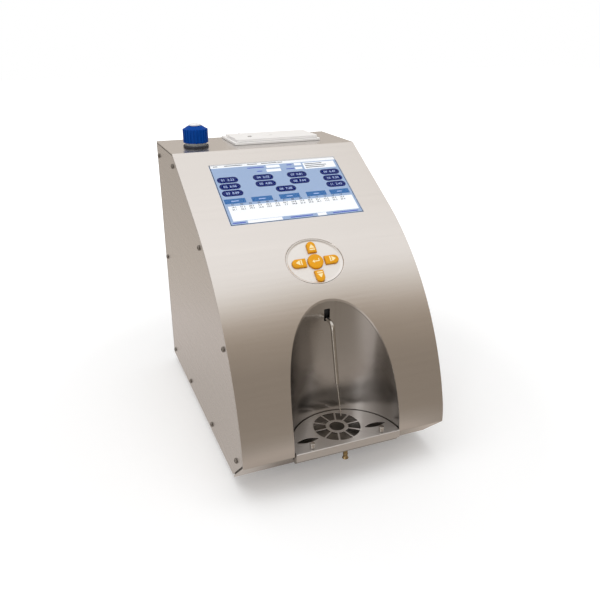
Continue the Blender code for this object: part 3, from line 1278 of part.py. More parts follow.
def build_inlet(case):
    """The power inlet with its pins and the cavity for its switch."""
    half_x, half_z = INLET_WIDTH / 2, INLET_HEIGHT / 2
    face = CASE_DEPTH + GAP + INLET_FLANGE
    low = (INLET_X - half_x, CASE_DEPTH + GAP, INLET_Z - half_z)
    inlet = add("power_inlet", boxes((low, (INLET_X + half_x, face, INLET_Z + half_z))), case, BLACK_PLASTIC)
    half_x, half_z = half_x - INLET_BODY_INSET, half_z - INLET_BODY_INSET
    low = (INLET_X - half_x, CASE_DEPTH - INLET_BODY_DEPTH, INLET_Z - half_z)
    body = boxes((low, (INLET_X + half_x, face - INLET_FLANGE / 2, INLET_Z + half_z)))
    join(inlet, add("inlet_body_tool", body, case))
    hollows = []
    for x, size in ((INLET_X + PLUG_CAVITY_X, PLUG_CAVITY), (INLET_X + SWITCH_X, SWITCH_CAVITY)):
        low = (x - size.x / 2, face - size.y, INLET_Z - size.z / 2)
        hollows.append((low, (x + size.x / 2, face + OVERRUN, INLET_Z + size.z / 2)))
    cut(inlet, add("inlet_cutter", boxes(*hollows), case))
    join(inlet, add("blade_tool", boxes(*blade_spans(face - PLUG_CAVITY.y)), case))


def build_switch(case):
    """The rocker in the inlet, tilted to one of its two ends."""
    half = ROCKER_HALF_HEIGHT
    outline = [
        (-ROCKER_BACK, -half),
        (ROCKER_REACH, -half),
        (ROCKER_DIP, 0),
        (ROCKER_REACH, half),
        (-ROCKER_BACK, half),
    ]
    rocker = loft(bmesh.new(), side_rings(outline, -ROCKER_WIDTH / 2, ROCKER_WIDTH / 2))
    add("power_switch", rocker, case, BLACK_PLASTIC, ROCKER_PIVOT, (ROCKER_TILT, 0, 0))


def build_port(case, name, x, shell, depth, taper):
    """A socket whose shell stands out of the rear panel, with a flange behind the panel."""
    half_x, half_z = shell.x / 2, shell.z / 2
    outline = [(-half_x, half_z), (half_x, half_z), (half_x - taper, -half_z), (taper - half_x, -half_z)]
    reach, seat = CASE_DEPTH + shell.y, REAR_INNER - GAP
    rings = [[(x + px, y, PORT_Z + pz) for px, pz in outline] for y in (REAR_INNER - depth, reach)]
    port = add(name, loft(bmesh.new(), rings), case, ALUMINIUM)
    wide, high = half_x + PORT_FLANGE_MARGIN, PORT_FLANGE_HEIGHT / 2
    low = (x - wide, seat - PORT_FLANGE_THICKNESS, PORT_Z - high)
    join(port, add(name + "_flange_tool", boxes((low, (x + wide, seat, PORT_Z + high))), case))
    share_x, share_z = 1 - PORT_WALL / half_x, 1 - PORT_WALL / half_z
    ends = (REAR_INNER - depth / 2, reach + OVERRUN)
    mouth = [[(x + px * share_x, y, PORT_Z + pz * share_z) for px, pz in outline] for y in ends]
    cut(port, add(name + "_cutter", loft(bmesh.new(), mouth), case))


def build_outside(case, slope, keypad):
    """The case's sheets with their screws and feet, and what is let into them."""
    holes = screw_holes(case)
    build_cover(case, slope, keypad, holes)
    build_panels(case, holes)
    build_rear(case, holes)
    build_base(case, holes)
    build_screws(case)
    build_inlet(case)
    build_switch(case)
    build_port(case, "serial_port", SERIAL_X, SERIAL_SHELL, SERIAL_BODY_DEPTH, SERIAL_TAPER)
    build_port(case, "data_port", DATA_X, DATA_SHELL, DATA_BODY_DEPTH, 0)


def main():
    """Builds every piece in the case frame."""
    clear_scene()
    middle = (CASE_DEPTH + REAR_REACH - FRONT_REACH) / 2
    case = empty("case_frame", (0, -middle, FOOT_HEIGHT))
    slope = empty("slope_frame", (0, SLOPE_SETBACK, CASE_HEIGHT), pi / 2 - SLOPE_ANGLE, case)
    keypad = empty("keypad_frame", KEYPAD_CENTRE, pi / 2 - KEYPAD_ANGLE, case)
    build_outside(case, slope, keypad)
    for build in (build_liner, build_tray, build_pan, build_sampler, build_bottle, build_cap):
        build(case)
    for build in (build_printer_body, build_paper, build_lid, build_lid_parts):
        build(case)
    for build in (build_sensor, build_pump, build_hoses):
        build(case)
    build_display(slope)
    for build in (build_dish, build_keys, build_key_board):
        build(keypad)


main()
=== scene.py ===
"""Looks of a milk analyzer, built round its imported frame.

Each sub-assembly is a class that models its pieces with Blender's own tools and dresses them.
Lengths are in metres. Pieces are modelled in the case frame, with X across, Y from the front-most
sheet to the rear and Z up from the underside of the case, and are then set down in the part's frame.
"""

from __future__ import annotations

import json
import logging
from contextlib import contextmanager
from dataclasses import dataclass, field
from enum import Enum
from math import asin, atan2, cos, pi, radians, sin, sqrt, tan, tau
from typing import Any, Callable, Iterator, Sequence

import bpy
from mathutils import Matrix, Vector

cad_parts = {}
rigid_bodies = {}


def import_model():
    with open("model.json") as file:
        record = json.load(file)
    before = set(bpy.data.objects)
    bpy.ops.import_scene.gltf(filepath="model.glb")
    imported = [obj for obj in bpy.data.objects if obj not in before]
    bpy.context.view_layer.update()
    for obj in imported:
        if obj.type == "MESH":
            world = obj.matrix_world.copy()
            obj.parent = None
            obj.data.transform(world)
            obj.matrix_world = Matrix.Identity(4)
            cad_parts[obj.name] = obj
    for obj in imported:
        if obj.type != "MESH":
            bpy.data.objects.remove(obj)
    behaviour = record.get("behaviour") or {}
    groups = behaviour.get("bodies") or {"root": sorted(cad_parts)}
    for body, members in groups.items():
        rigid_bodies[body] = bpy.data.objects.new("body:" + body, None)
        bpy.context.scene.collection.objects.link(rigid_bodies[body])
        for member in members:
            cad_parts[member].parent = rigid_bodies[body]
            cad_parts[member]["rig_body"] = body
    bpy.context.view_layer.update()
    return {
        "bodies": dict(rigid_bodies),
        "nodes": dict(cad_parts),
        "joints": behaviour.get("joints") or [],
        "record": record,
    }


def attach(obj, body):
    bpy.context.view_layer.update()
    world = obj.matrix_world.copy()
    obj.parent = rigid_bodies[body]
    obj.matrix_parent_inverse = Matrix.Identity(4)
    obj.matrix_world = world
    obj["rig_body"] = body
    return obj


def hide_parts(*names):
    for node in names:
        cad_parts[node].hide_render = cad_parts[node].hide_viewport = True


LOG = logging.getLogger("milk_analyzer")
MERGE = 2e-6
SMOOTH = radians(38)
OVERRUN = 0.004
SIDES = {"left": -1, "right": 1}

Object = bpy.types.Object
Material = bpy.types.Material
Test = Callable[[Vector, Vector], bool]
Pair = tuple[float, float]
Triple = tuple[float, float, float]
Place = Sequence[float]


class Pick(Enum):
    """What a selection in edit mode takes."""

    POINTS = "VERT"
    EDGES = "EDGE"
    FACES = "FACE"


class Grain(Enum):
    """The way in which a sheet is brushed."""

    ACROSS = (0.012, 1.0, 1.0)
    ALONG = (1.0, 0.012, 1.0)


# Modelling tools


def everything(middle: Vector, way: Vector) -> bool:
    """A test that takes all."""
    return True


def upright(middle: Vector, way: Vector) -> bool:
    """Whether an edge stands upright."""
    return abs(way.z) > 0.9


def facing_up(middle: Vector, normal: Vector) -> bool:
    """Whether a face looks up."""
    return normal.z > 0.9


def take(*pieces: Object) -> None:
    """Leaves edit mode and selects only these pieces, the last one active.

    Args:
        pieces: What the next tool acts on: nothing, where it adds a piece.
    """
    if bpy.context.mode != "OBJECT":
        bpy.ops.object.mode_set(mode="OBJECT")
    bpy.ops.object.select_all(action="DESELECT")
    for piece in pieces:
        piece.select_set(True)
        bpy.context.view_layer.objects.active = piece


def named(name: str) -> Object:
    """Names the piece that was just added.

    Args:
        name: The piece's name.

    Returns:
        The piece.
    """
    piece = bpy.context.object
    piece.name = piece.data.name = name
    return piece


def settle(piece: Object, place: Matrix = Matrix.Identity(4)) -> Object:
    """Moves a piece by a matrix and works its place into its mesh.

    Args:
        piece: The piece.
        place: Where it goes, from where it stands.

    Returns:
        The piece, with its object at the origin.
    """
    take(piece)
    piece.matrix_world = place @ piece.matrix_world
    bpy.ops.object.transform_apply(location=True, rotation=True, scale=True)
    return piece


@contextmanager
def editing(piece: Object, pick: Pick, test: Test) -> Iterator[None]:
    """Edit mode with a selection by place.

    Args:
        piece: The piece to edit.
        pick: Points, edges or faces.
        test: Says whether one is selected, from its middle and its normal or direction.

    Yields:
        Nothing: the tools act on the selection.
    """
    take(piece)
    bpy.ops.object.mode_set(mode="EDIT")
    bpy.ops.mesh.select_mode(type=pick.value)
    bpy.ops.mesh.select_all(action="DESELECT")
    bpy.ops.object.mode_set(mode="OBJECT")
    mesh = piece.data
    if pick is Pick.FACES:
        for face in mesh.polygons:
            face.select = test(face.center, face.normal)
    elif pick is Pick.EDGES:
        for edge in mesh.edges:
            first, last = (mesh.vertices[index].co for index in edge.vertices)
            edge.select = test((first + last) / 2, (last - first).normalized())
    else:
        for point in mesh.vertices:
            point.select = test(point.co, point.normal)
    bpy.ops.object.mode_set(mode="EDIT")
    yield
    bpy.ops.object.mode_set(mode="OBJECT")


def merge() -> None:
    """Selects all of the mesh in edit mode and merges the points that lie on one another."""
    bpy.ops.mesh.select_all(action="SELECT")
    bpy.ops.mesh.remove_doubles(threshold=MERGE)


def bevelled(piece: Object, pick: Pick, test: Test, width: float, segments: int = 4) -> Object:
    """Rounds the edges that a test picks.

    Args:
        piece: The piece.
        pick: Edges, or the faces whose edges are meant.
        test: The test.
        width: The width of the rounding.
        segments: Its steps.

    Returns:
        The piece.
    """
    with editing(piece, pick, test):
        bpy.ops.mesh.bevel(offset=width, segments=segments, affect="EDGES")
    return piece


def applied(piece: Object, kind: str, **settings: Any) -> Object:
    """Adds a modifier and applies it.

    Args:
        piece: The piece.
        kind: The modifier's type.
        settings: The modifier's settings.

    Returns:
        The piece.
    """
    take(piece)
    modifier = piece.modifiers.new(kind.lower(), kind)
    for name, value in settings.items():
        setattr(modifier, name, value)
    bpy.ops.object.modifier_apply(modifier=modifier.name)
    return piece


def combine(piece: Object, operation: str, *tools: Object) -> Object:
    """Cuts or joins a piece with tools, which are used up.

    Args:
        piece: The piece.
        operation: DIFFERENCE, UNION or INTERSECT.
        tools: Closed meshes.

    Returns:
        The piece.
    """
    for tool in tools:
        applied(piece, "BOOLEAN", operation=operation, object=tool, solver="EXACT")
        bpy.data.objects.remove(tool, do_unlink=True)
    with editing(piece, Pick.FACES, everything):
        merge()
        bpy.ops.mesh.dissolve_degenerate(threshold=MERGE)
    return piece


def cut(piece: Object, *tools: Object) -> Object:
    """Takes the tools away from the piece and returns it."""
    return combine(piece, "DIFFERENCE", *tools)


def join(*pieces: Object) -> Object:
    """Makes one piece of several, without a Boolean.

    Args:
        pieces: The pieces, of which the last one keeps its name.

    Returns:
        The last piece.
    """
    take(*pieces)
    bpy.ops.object.join()
    return bpy.context.object


def copied(piece: Object, name: str, place: Matrix = Matrix.Identity(4)) -> Object:
    """A copy with a mesh of its own.

    Args:
        piece: The piece to copy.
        name: The copy's name.
        place: Where the copy goes, from where the piece stands.

    Returns:
        The copy.
    """
    take(piece)
    bpy.ops.object.duplicate()
    return settle(named(name), place)


def rounded(piece: Object, width: float, segments: int = 2, angle: float = radians(35)) -> Object:
    """Rounds a piece's sharp edges and shades it smooth up to its corners.

    Args:
        piece: The piece.
        width: The width of the rounding.
        segments: Its steps.
        angle: The least angle of an edge that is rounded.

    Returns:
        The piece.
    """
    applied(
        piece, "BEVEL", width=width, segments=segments, limit_method="ANGLE",
        angle_limit=angle, harden_normals=False, miter_outer="MITER_ARC",
    )
    return shaded(piece)


def shaded(piece: Object, angle: float = SMOOTH) -> Object:
    """Shades a piece smooth up to an angle, with the broad faces kept even, and returns it."""
    take(piece)
    bpy.ops.object.shade_smooth_by_angle(angle=angle)
    return applied(piece, "WEIGHTED_NORMAL", mode="FACE_AREA", weight=60, keep_sharp=True)


def block(name: str, low: Place, high: Place) -> Object:
    """A box between two corners, as a start or a cutting tool.

    Args:
        name: Its name.
        low: Its lowest corner.
        high: Its highest corner.

    Returns:
        The box.
    """
    low, high = Vector(low), Vector(high)
    take()
    bpy.ops.mesh.primitive_cube_add(size=1, location=(low + high) / 2)
    box = named(name)
    box.scale = high - low
    return settle(box)


def rod(name: str, radius: float, ends: Sequence[Place], sides: int = 48) -> Object:
    """A round bar between two points, as a start or a cutting tool.

    Args:
        name: Its name.
        radius: Its radius.
        ends: The two ends of its axis.
        sides: Its sides.

    Returns:
        The bar.
    """
    first, last = Vector(ends[0]), Vector(ends[1])
    take()
    bpy.ops.mesh.primitive_cylinder_add(vertices=sides, radius=radius, depth=(last - first).length)
    return settle(named(name), Matrix.Translation((first + last) / 2) @ facing(last - first))


def facing(way: Vector) -> Matrix:
    """The turn that brings the upright axis to a direction."""
    return way.to_track_quat("Z", "Y").to_matrix().to_4x4()


def bend_points(
    at: Vector, corner: Vector, towards: Vector, radius: float
) -> tuple[Vector, Vector, Vector, float]:
    """Where a path rounds a corner.

    Args:
        at: A point on the path before the corner.
        corner: The sharp corner.
        towards: A point on the path after it.
        radius: The radius that rounds it.

    Returns:
        The start of the bend, its centre, its axis and its angle.
    """
    back, onward = (at - corner).normalized(), (towards - corner).normalized()
    half = back.angle(onward) / 2
    middle = corner + (back + onward).normalized() * (radius / sin(half))
    return corner + back * (radius / tan(half)), middle, (-back).cross(onward).normalized(), pi - 2 * half


class Pen:
    """Draws a path point by point in edit mode, and makes a face, a sheet or a turned shape of it."""

    def __init__(self, name: str, start: Place) -> None:
        """Starts a path.

        Args:
            name: The name of the piece to come.
            start: The path's first point.
        """
        take()
        bpy.ops.mesh.primitive_plane_add(size=0.01, location=start)
        self.piece = named(name)
        bpy.ops.object.transform_apply(location=True, rotation=True, scale=True)
        bpy.ops.object.mode_set(mode="EDIT")
        bpy.ops.mesh.select_mode(type="VERT")
        bpy.ops.mesh.select_all(action="SELECT")
        bpy.ops.mesh.merge(type="CENTER")
        self.at = Vector(start)

    def line(self, *stops: Place) -> Pen:
        """Draws straight to each stop in turn and returns the pen."""
        for stop in stops:
            bpy.ops.mesh.extrude_vertices_move(TRANSFORM_OT_translate={"value": Vector(stop) - self.at})
            self.at = Vector(stop)
        return self

    def arc(self, centre: Place, axis: Place, angle: float, step: float = radians(4)) -> Pen:
        """Draws round a centre.

        Args:
            centre: The centre of the arc.
            axis: Its axis, about which the angle follows the right-hand rule.
            angle: How far round it goes.
            step: The angle of one step.

        Returns:
            The pen.
        """
        steps = max(2, round(abs(angle) / step))
        bpy.ops.mesh.spin(steps=steps, angle=-angle, center=Vector(centre), axis=Vector(axis))
        self.at = Vector(centre) + Matrix.Rotation(angle, 3, Vector(axis)) @ (self.at - Vector(centre))
        return self

    def bend(self, corner: Place, towards: Place, radius: float, step: float = radians(9)) -> Pen:
        """Draws to a sharp corner, rounds it on the way to a point further on and returns the pen."""
        start, middle, axis, angle = bend_points(self.at, Vector(corner), Vector(towards), radius)
        return self.line(start).arc(middle, axis, angle, step)

    def done(self) -> Object:
        """Ends the drawing and returns the piece, its faces pointing outwards where it is closed."""
        merge()
        bpy.ops.mesh.normals_make_consistent(inside=False)
        bpy.ops.object.mode_set(mode="OBJECT")
        return self.piece

    def raised(self, rise: Place) -> Object:
        """Closes the path, fills it and raises it into a solid.

        Args:
            rise: How far, and which way.

        Returns:
            The piece.
        """
        merge()
        bpy.ops.mesh.select_all(action="SELECT")
        bpy.ops.mesh.edge_face_add()
        if not len(self.faces()):
            bpy.ops.mesh.fill()
        bpy.ops.mesh.select_all(action="SELECT")
        bpy.ops.mesh.extrude_region_move(TRANSFORM_OT_translate={"value": Vector(rise)})
        return self.done()

    def faces(self) -> Any:
        """The faces that are drawn so far."""
        self.piece.update_from_editmode()
        return self.piece.data.polygons

    def sheet(self, reach: Place, outward: Place, thickness: float) -> Object:
        """Draws the open path out into a sheet and gives it a thickness.

        Args:
            reach: How far the path is drawn out, and which way.
            outward: A direction on the outer side of the sheet.
            thickness: The thickness, which goes inwards.

        Returns:
            The piece.
        """
        bpy.ops.mesh.select_all(action="SELECT")
        bpy.ops.mesh.extrude_region_move(TRANSFORM_OT_translate={"value": Vector(reach)})
        merge()
        bpy.ops.mesh.normals_make_consistent(inside=False)
        if sum(face.normal.dot(Vector(outward)) * face.area for face in self.faces()) < 0:
            bpy.ops.mesh.flip_normals()
        bpy.ops.object.mode_set(mode="OBJECT")
        return applied(self.piece, "SOLIDIFY", thickness=thickness, offset=-1, use_even_offset=True)

    def turned(self, centre: Place, axis: Place, steps: int = 64) -> Object:
        """Turns the path about an axis, on a lathe.

        Args:
            centre: A point on the axis.
            axis: The axis.
            steps: The steps of a whole turn.

        Returns:
            The piece.
        """
        bpy.ops.mesh.select_all(action="SELECT")
        bpy.ops.mesh.spin(steps=steps, angle=tau, center=Vector(centre), axis=Vector(axis))
        return self.done()


def turned(name: str, stations: Sequence[Pair], centre: Place, steps: int = 64) -> Object:
    """A shape turned about an upright axis.

    Args:
        name: The piece's name.
        stations: Radius and height of each point of its outline.
        centre: A point on the axis, from which the heights count.
        steps: The steps of a whole turn.

    Returns:
        The piece.
    """
    centre = Vector(centre)
    places = [centre + Vector((radius, 0, height)) for radius, height in stations]
    return shaded(Pen(name, places[0]).line(*places[1:]).turned(centre, (0, 0, 1), steps))


# Finishes


class Signal:
    """One value in a material's graph, on which Python's arithmetic adds Math nodes."""

    def __init__(self, graph: Graph, socket: bpy.types.NodeSocket) -> None:
        """Wraps an output socket of a graph."""
        self.graph = graph
        self.socket = socket

    def _with(self, operation: str, first: Any, second: Any) -> Signal:
        """A Math node on two values, as a signal."""
        return self.graph.add("ShaderNodeMath", {"operation": operation}, {0: first, 1: second})

    def __add__(self, other: Any) -> Signal:
        """self + other."""
        return self._with("ADD", self, other)

    __radd__ = __add__

    def __sub__(self, other: Any) -> Signal:
        """self - other."""
        return self._with("SUBTRACT", self, other)

    def __rsub__(self, other: Any) -> Signal:
        """other - self."""
        return self._with("SUBTRACT", other, self)

    def __mul__(self, other: Any) -> Signal:
        """self * other."""
        return self._with("MULTIPLY", self, other)

    __rmul__ = __mul__

    def __pow__(self, other: Any) -> Signal:
        """self ** other."""
        return self._with("POWER", self, other)

    def larger(self, other: Any) -> Signal:
        """The larger of self and other."""
        return self._with("MAXIMUM", self, other)


class Graph:
    """The nodes of one material, or of the world."""

    def __init__(self, name: str, world: bpy.types.World | None = None) -> None:
        """Starts a material, or the nodes of the world.

        Args:
            name: The material's name.
            world: The world, where it isn't a material.
        """
        self.material = world or bpy.data.materials.new(name)
        self.material.use_nodes = True
        self.tree = self.material.node_tree
        self.shader = self.tree.nodes["Background" if world else "Principled BSDF"]
        self.place = self.add("ShaderNodeTexCoord", {}, {}, "Object")

    def add(self, kind: str, settings: dict[str, Any], sockets: dict[Any, Any], output: Any = 0) -> Signal:
        """Adds a node.

        Args:
            kind: The node's type.
            settings: Its settings, which are set first. A ramp's stops are given as stops.
            sockets: The values or links of its sockets, by name or number.
            output: The output that is wanted.

        Returns:
            That output.
        """
        node = self.tree.nodes.new(kind)
        for name, value in settings.items():
            if name == "stops":
                self.set_stops(node.color_ramp.elements, value)
            else:
                setattr(node, name, value)
        self.fill(node, sockets)
        return Signal(self, node.outputs[output])

    @staticmethod
    def set_stops(elements: Any, stops: Sequence[tuple[float, Place]]) -> None:
        """Sets a ramp's places and colours.

        Args:
            elements: The ramp's elements.
            stops: Its places and colours.
        """
        while len(elements) < len(stops):
            elements.new(0.5)
        for element, (place, colour) in zip(elements, stops):
            element.position = place
            element.color = (*colour, 1)

    def fill(self, node: bpy.types.Node, sockets: dict[Any, Any]) -> None:
        """Sets or links a node's inputs.

        Args:
            node: The node.
            sockets: Values or signals by socket name or number.
        """
        for name, value in sockets.items():
            socket = node.inputs[name]
            if isinstance(value, Signal):
                self.tree.links.new(value.socket, socket)
            elif socket.type == "RGBA":
                socket.default_value = (*value, 1) if len(value) == 3 else value
            else:
                socket.default_value = value

    def scaled(self, stretch: Place) -> Signal:
        """Object coordinates stretched along each axis."""
        return self.add("ShaderNodeMapping", {}, {"Vector": self.place, "Scale": stretch})

    def noise(
        self, scale: float, detail: float = 3.0, rough: float = 0.55, stretch: Any = (1, 1, 1)
    ) -> Signal:
        """Noise from 0 to 1 at a scale per metre, its finer octaves as strong as rough says."""
        sockets = {"Vector": self.scaled(stretch), "Scale": scale, "Detail": detail, "Roughness": rough}
        return self.add("ShaderNodeTexNoise", {}, sockets)

    def share(self, value: Signal, low: float, high: float) -> Signal:
        """How far a value has come from one number to another, from 0 to 1."""
        return self.add("ShaderNodeMapRange", {}, {"Value": value, "From Min": low, "From Max": high})

    def seen(self) -> Signal:
        """1 for camera, glossy and transmission rays, otherwise 0."""
        camera, glossy, clear = (
            self.add("ShaderNodeLightPath", {}, {}, f"Is {ray} Ray")
            for ray in ("Camera", "Glossy", "Transmission")
        )
        return camera.larger(glossy).larger(clear)

    def mixed(self, share: Any, first: Any, second: Any) -> Signal:
        """A mix of two colours by a share."""
        settings = {"data_type": "RGBA", "clamp_factor": True}
        return self.add("ShaderNodeMix", settings, {0: share, 6: first, 7: second}, 2)

    def spread(self, share: Any, colour: Triple, span: float) -> Signal:
        """A colour that a share moves from a little darker to a little lighter."""
        return self.mixed(share, shade(colour, 1 - span), shade(colour, 1 + span))

    def bump(self, height: Any, strength: float, distance: float) -> Signal:
        """A normal from a height of 0 to 1 that spans a distance in metres."""
        return self.add("ShaderNodeBump", {}, {"Height": height, "Strength": strength, "Distance": distance})

    def dress(self, sockets: dict[str, Any]) -> Material:
        """Fills the shader's sockets and returns the material."""
        self.fill(self.shader, sockets)
        return self.material


def shade(colour: Place, factor: float) -> Triple:
    """A colour made lighter or darker by a factor."""
    return tuple(min(1.0, channel * factor) for channel in colour)


def srgb(red: int, green: int, blue: int) -> Triple:
    """A colour as it is seen on a display, from 0 to 255, as the linear values of a shader."""
    channels = [value / 255 for value in (red, green, blue)]
    return tuple(c / 12.92 if c <= 0.04045 else ((c + 0.055) / 1.055) ** 2.4 for c in channels)


@dataclass(frozen=True)
class BrushedSteel:
    """Stainless sheet with a fine grain, soft streaks along it and faint smudges."""

    name: str
    colour: Triple = (0.68, 0.655, 0.635)
    roughness: float = 0.23
    grain: Grain = Grain.ACROSS
    lines: float = 2600.0
    depth: float = 0.06

    def material(self) -> Material:
        """The finished material."""
        graph = Graph(self.name)
        fine = graph.noise(self.lines, 2, 0.6, self.grain.value)
        streak = graph.noise(self.lines / 14, 3, 0.6, self.grain.value)
        smudge = graph.noise(16, 3, 0.6)
        tone = 0.5 * streak + 0.3 * fine + 0.2 * smudge
        return graph.dress({
            "Base Color": graph.spread(tone, self.colour, 0.06),
            "Metallic": 1.0,
            "Roughness": self.roughness - 0.07 + 0.10 * fine + 0.05 * smudge,
            "Normal": graph.bump(fine + streak, self.depth, 0.00002),
        })


@dataclass(frozen=True)
class PolishedMetal:
    """Turned or drawn metal with faint rings and a little tarnish."""

    name: str
    colour: Triple = (0.72, 0.70, 0.67)
    tarnish: Triple = (0.50, 0.48, 0.45)
    roughness: float = 0.07

    def material(self) -> Material:
        """The finished material."""
        graph = Graph(self.name)
        rings = graph.noise(1800, 2, 0.5, (0.05, 0.05, 1))
        spots = graph.noise(320, 4, 0.65)
        stain = spots**3 * 2.2
        return graph.dress({
            "Base Color": graph.mixed(stain, self.colour, self.tarnish),
            "Metallic": 1.0,
            "Roughness": self.roughness + 0.10 * spots + 0.06 * rings,
            "Normal": graph.bump(rings, 0.08, 0.00002),
        })


@dataclass(frozen=True)
class Moulded:
    """Moulded plastic or rubber with a fine skin and a little uneven colour."""

    name: str
    colour: Triple
    roughness: float = 0.42
    skin: float = 2200.0
    depth: float = 0.10
    uneven: float = 0.06
    metallic: float = 0.0
    specular: float = 0.5
    clear: float = 0.0

    def material(self) -> Material:
        """The finished material."""
        graph = Graph(self.name)
        skin = graph.noise(self.skin, 2, 0.5)
        cloud = graph.noise(90, 3, 0.6)
        scuff = graph.noise(700, 4, 0.7, (1, 0.2, 1))
        tone = 0.7 * cloud + 0.3 * skin
        return graph.dress({
            "Base Color": graph.spread(tone, self.colour, self.uneven),
            "Roughness": self.roughness - 0.05 + 0.06 * scuff + 0.05 * cloud,
            "Normal": graph.bump(skin, self.depth, 0.00003),
            "Metallic": self.metallic,
            "Specular IOR Level": self.specular,
            "Transmission Weight": self.clear,
        })


@dataclass(frozen=True)
class ClearGlass:
    """A clear touch panel with a faint film of smears."""

    name: str
    roughness: float = 0.02

    def material(self) -> Material:
        """The finished material."""
        graph = Graph(self.name)
        smear = graph.noise(45, 4, 0.6, (1, 0.4, 1))
        return graph.dress({
            "Base Color": graph.mixed(smear, (0.97, 0.98, 0.98), (1.0, 1.0, 1.0)),
            "Roughness": self.roughness + 0.03 * smear,
            "Transmission Weight": 1.0,
            "IOR": 1.16,
        })


@dataclass(frozen=True)
class Lit:
    """A patch of a lit display, with the slight unevenness of its backlight."""

    name: str
    colour: Triple
    dim: float = 0.93

    def material(self) -> Material:
        """The finished material."""
        graph = Graph(self.name)
        cloud = graph.noise(22, 2, 0.5)
        dots = graph.noise(2600, 1, 0.5)
        tone = graph.mixed(0.75 * cloud + 0.25 * dots, shade(self.colour, self.dim), self.colour)
        return graph.dress({
            "Base Color": graph.mixed(dots, shade(self.colour, 0.04), shade(self.colour, 0.06)),
            "Roughness": 0.30 + 0.1 * cloud,
            "Specular IOR Level": 0.0,
            "Emission Color": tone,
            "Emission Strength": 1.0,
        })


@dataclass(frozen=True)
class Board:
    """A lacquered circuit board with traces and pads."""

    name: str

    def material(self) -> Material:
        """The finished material."""
        graph = Graph(self.name)
        bricks = {"Vector": graph.scaled((260, 260, 260)), "Scale": 1.0, "Mortar Size": 0.06, "Bias": 0.0}
        traces = graph.add("ShaderNodeTexBrick", {}, bricks, "Fac")
        cloud = graph.noise(60, 3)
        return graph.dress({
            "Base Color": graph.mixed(traces, (0.012, 0.10, 0.045), (0.05, 0.26, 0.12)),
            "Roughness": 0.34 + 0.15 * cloud,
            "Normal": graph.bump(traces, 0.2, 0.00005),
        })


@dataclass(frozen=True)
class Paper:
    """Thermal paper wound on a roll, with the edges of its turns."""

    name: str

    def material(self) -> Material:
        """The finished material."""
        graph = Graph(self.name)
        fibre = graph.noise(900, 4, 0.6)
        turns = graph.noise(3000, 1, 0.5, (0.02, 1, 1))
        return graph.dress({
            "Base Color": graph.mixed(fibre, (0.80, 0.80, 0.78), (0.88, 0.88, 0.86)),
            "Roughness": 0.62 + 0.1 * fibre,
            "Normal": graph.bump(turns + fibre, 0.2, 0.00003),
        })


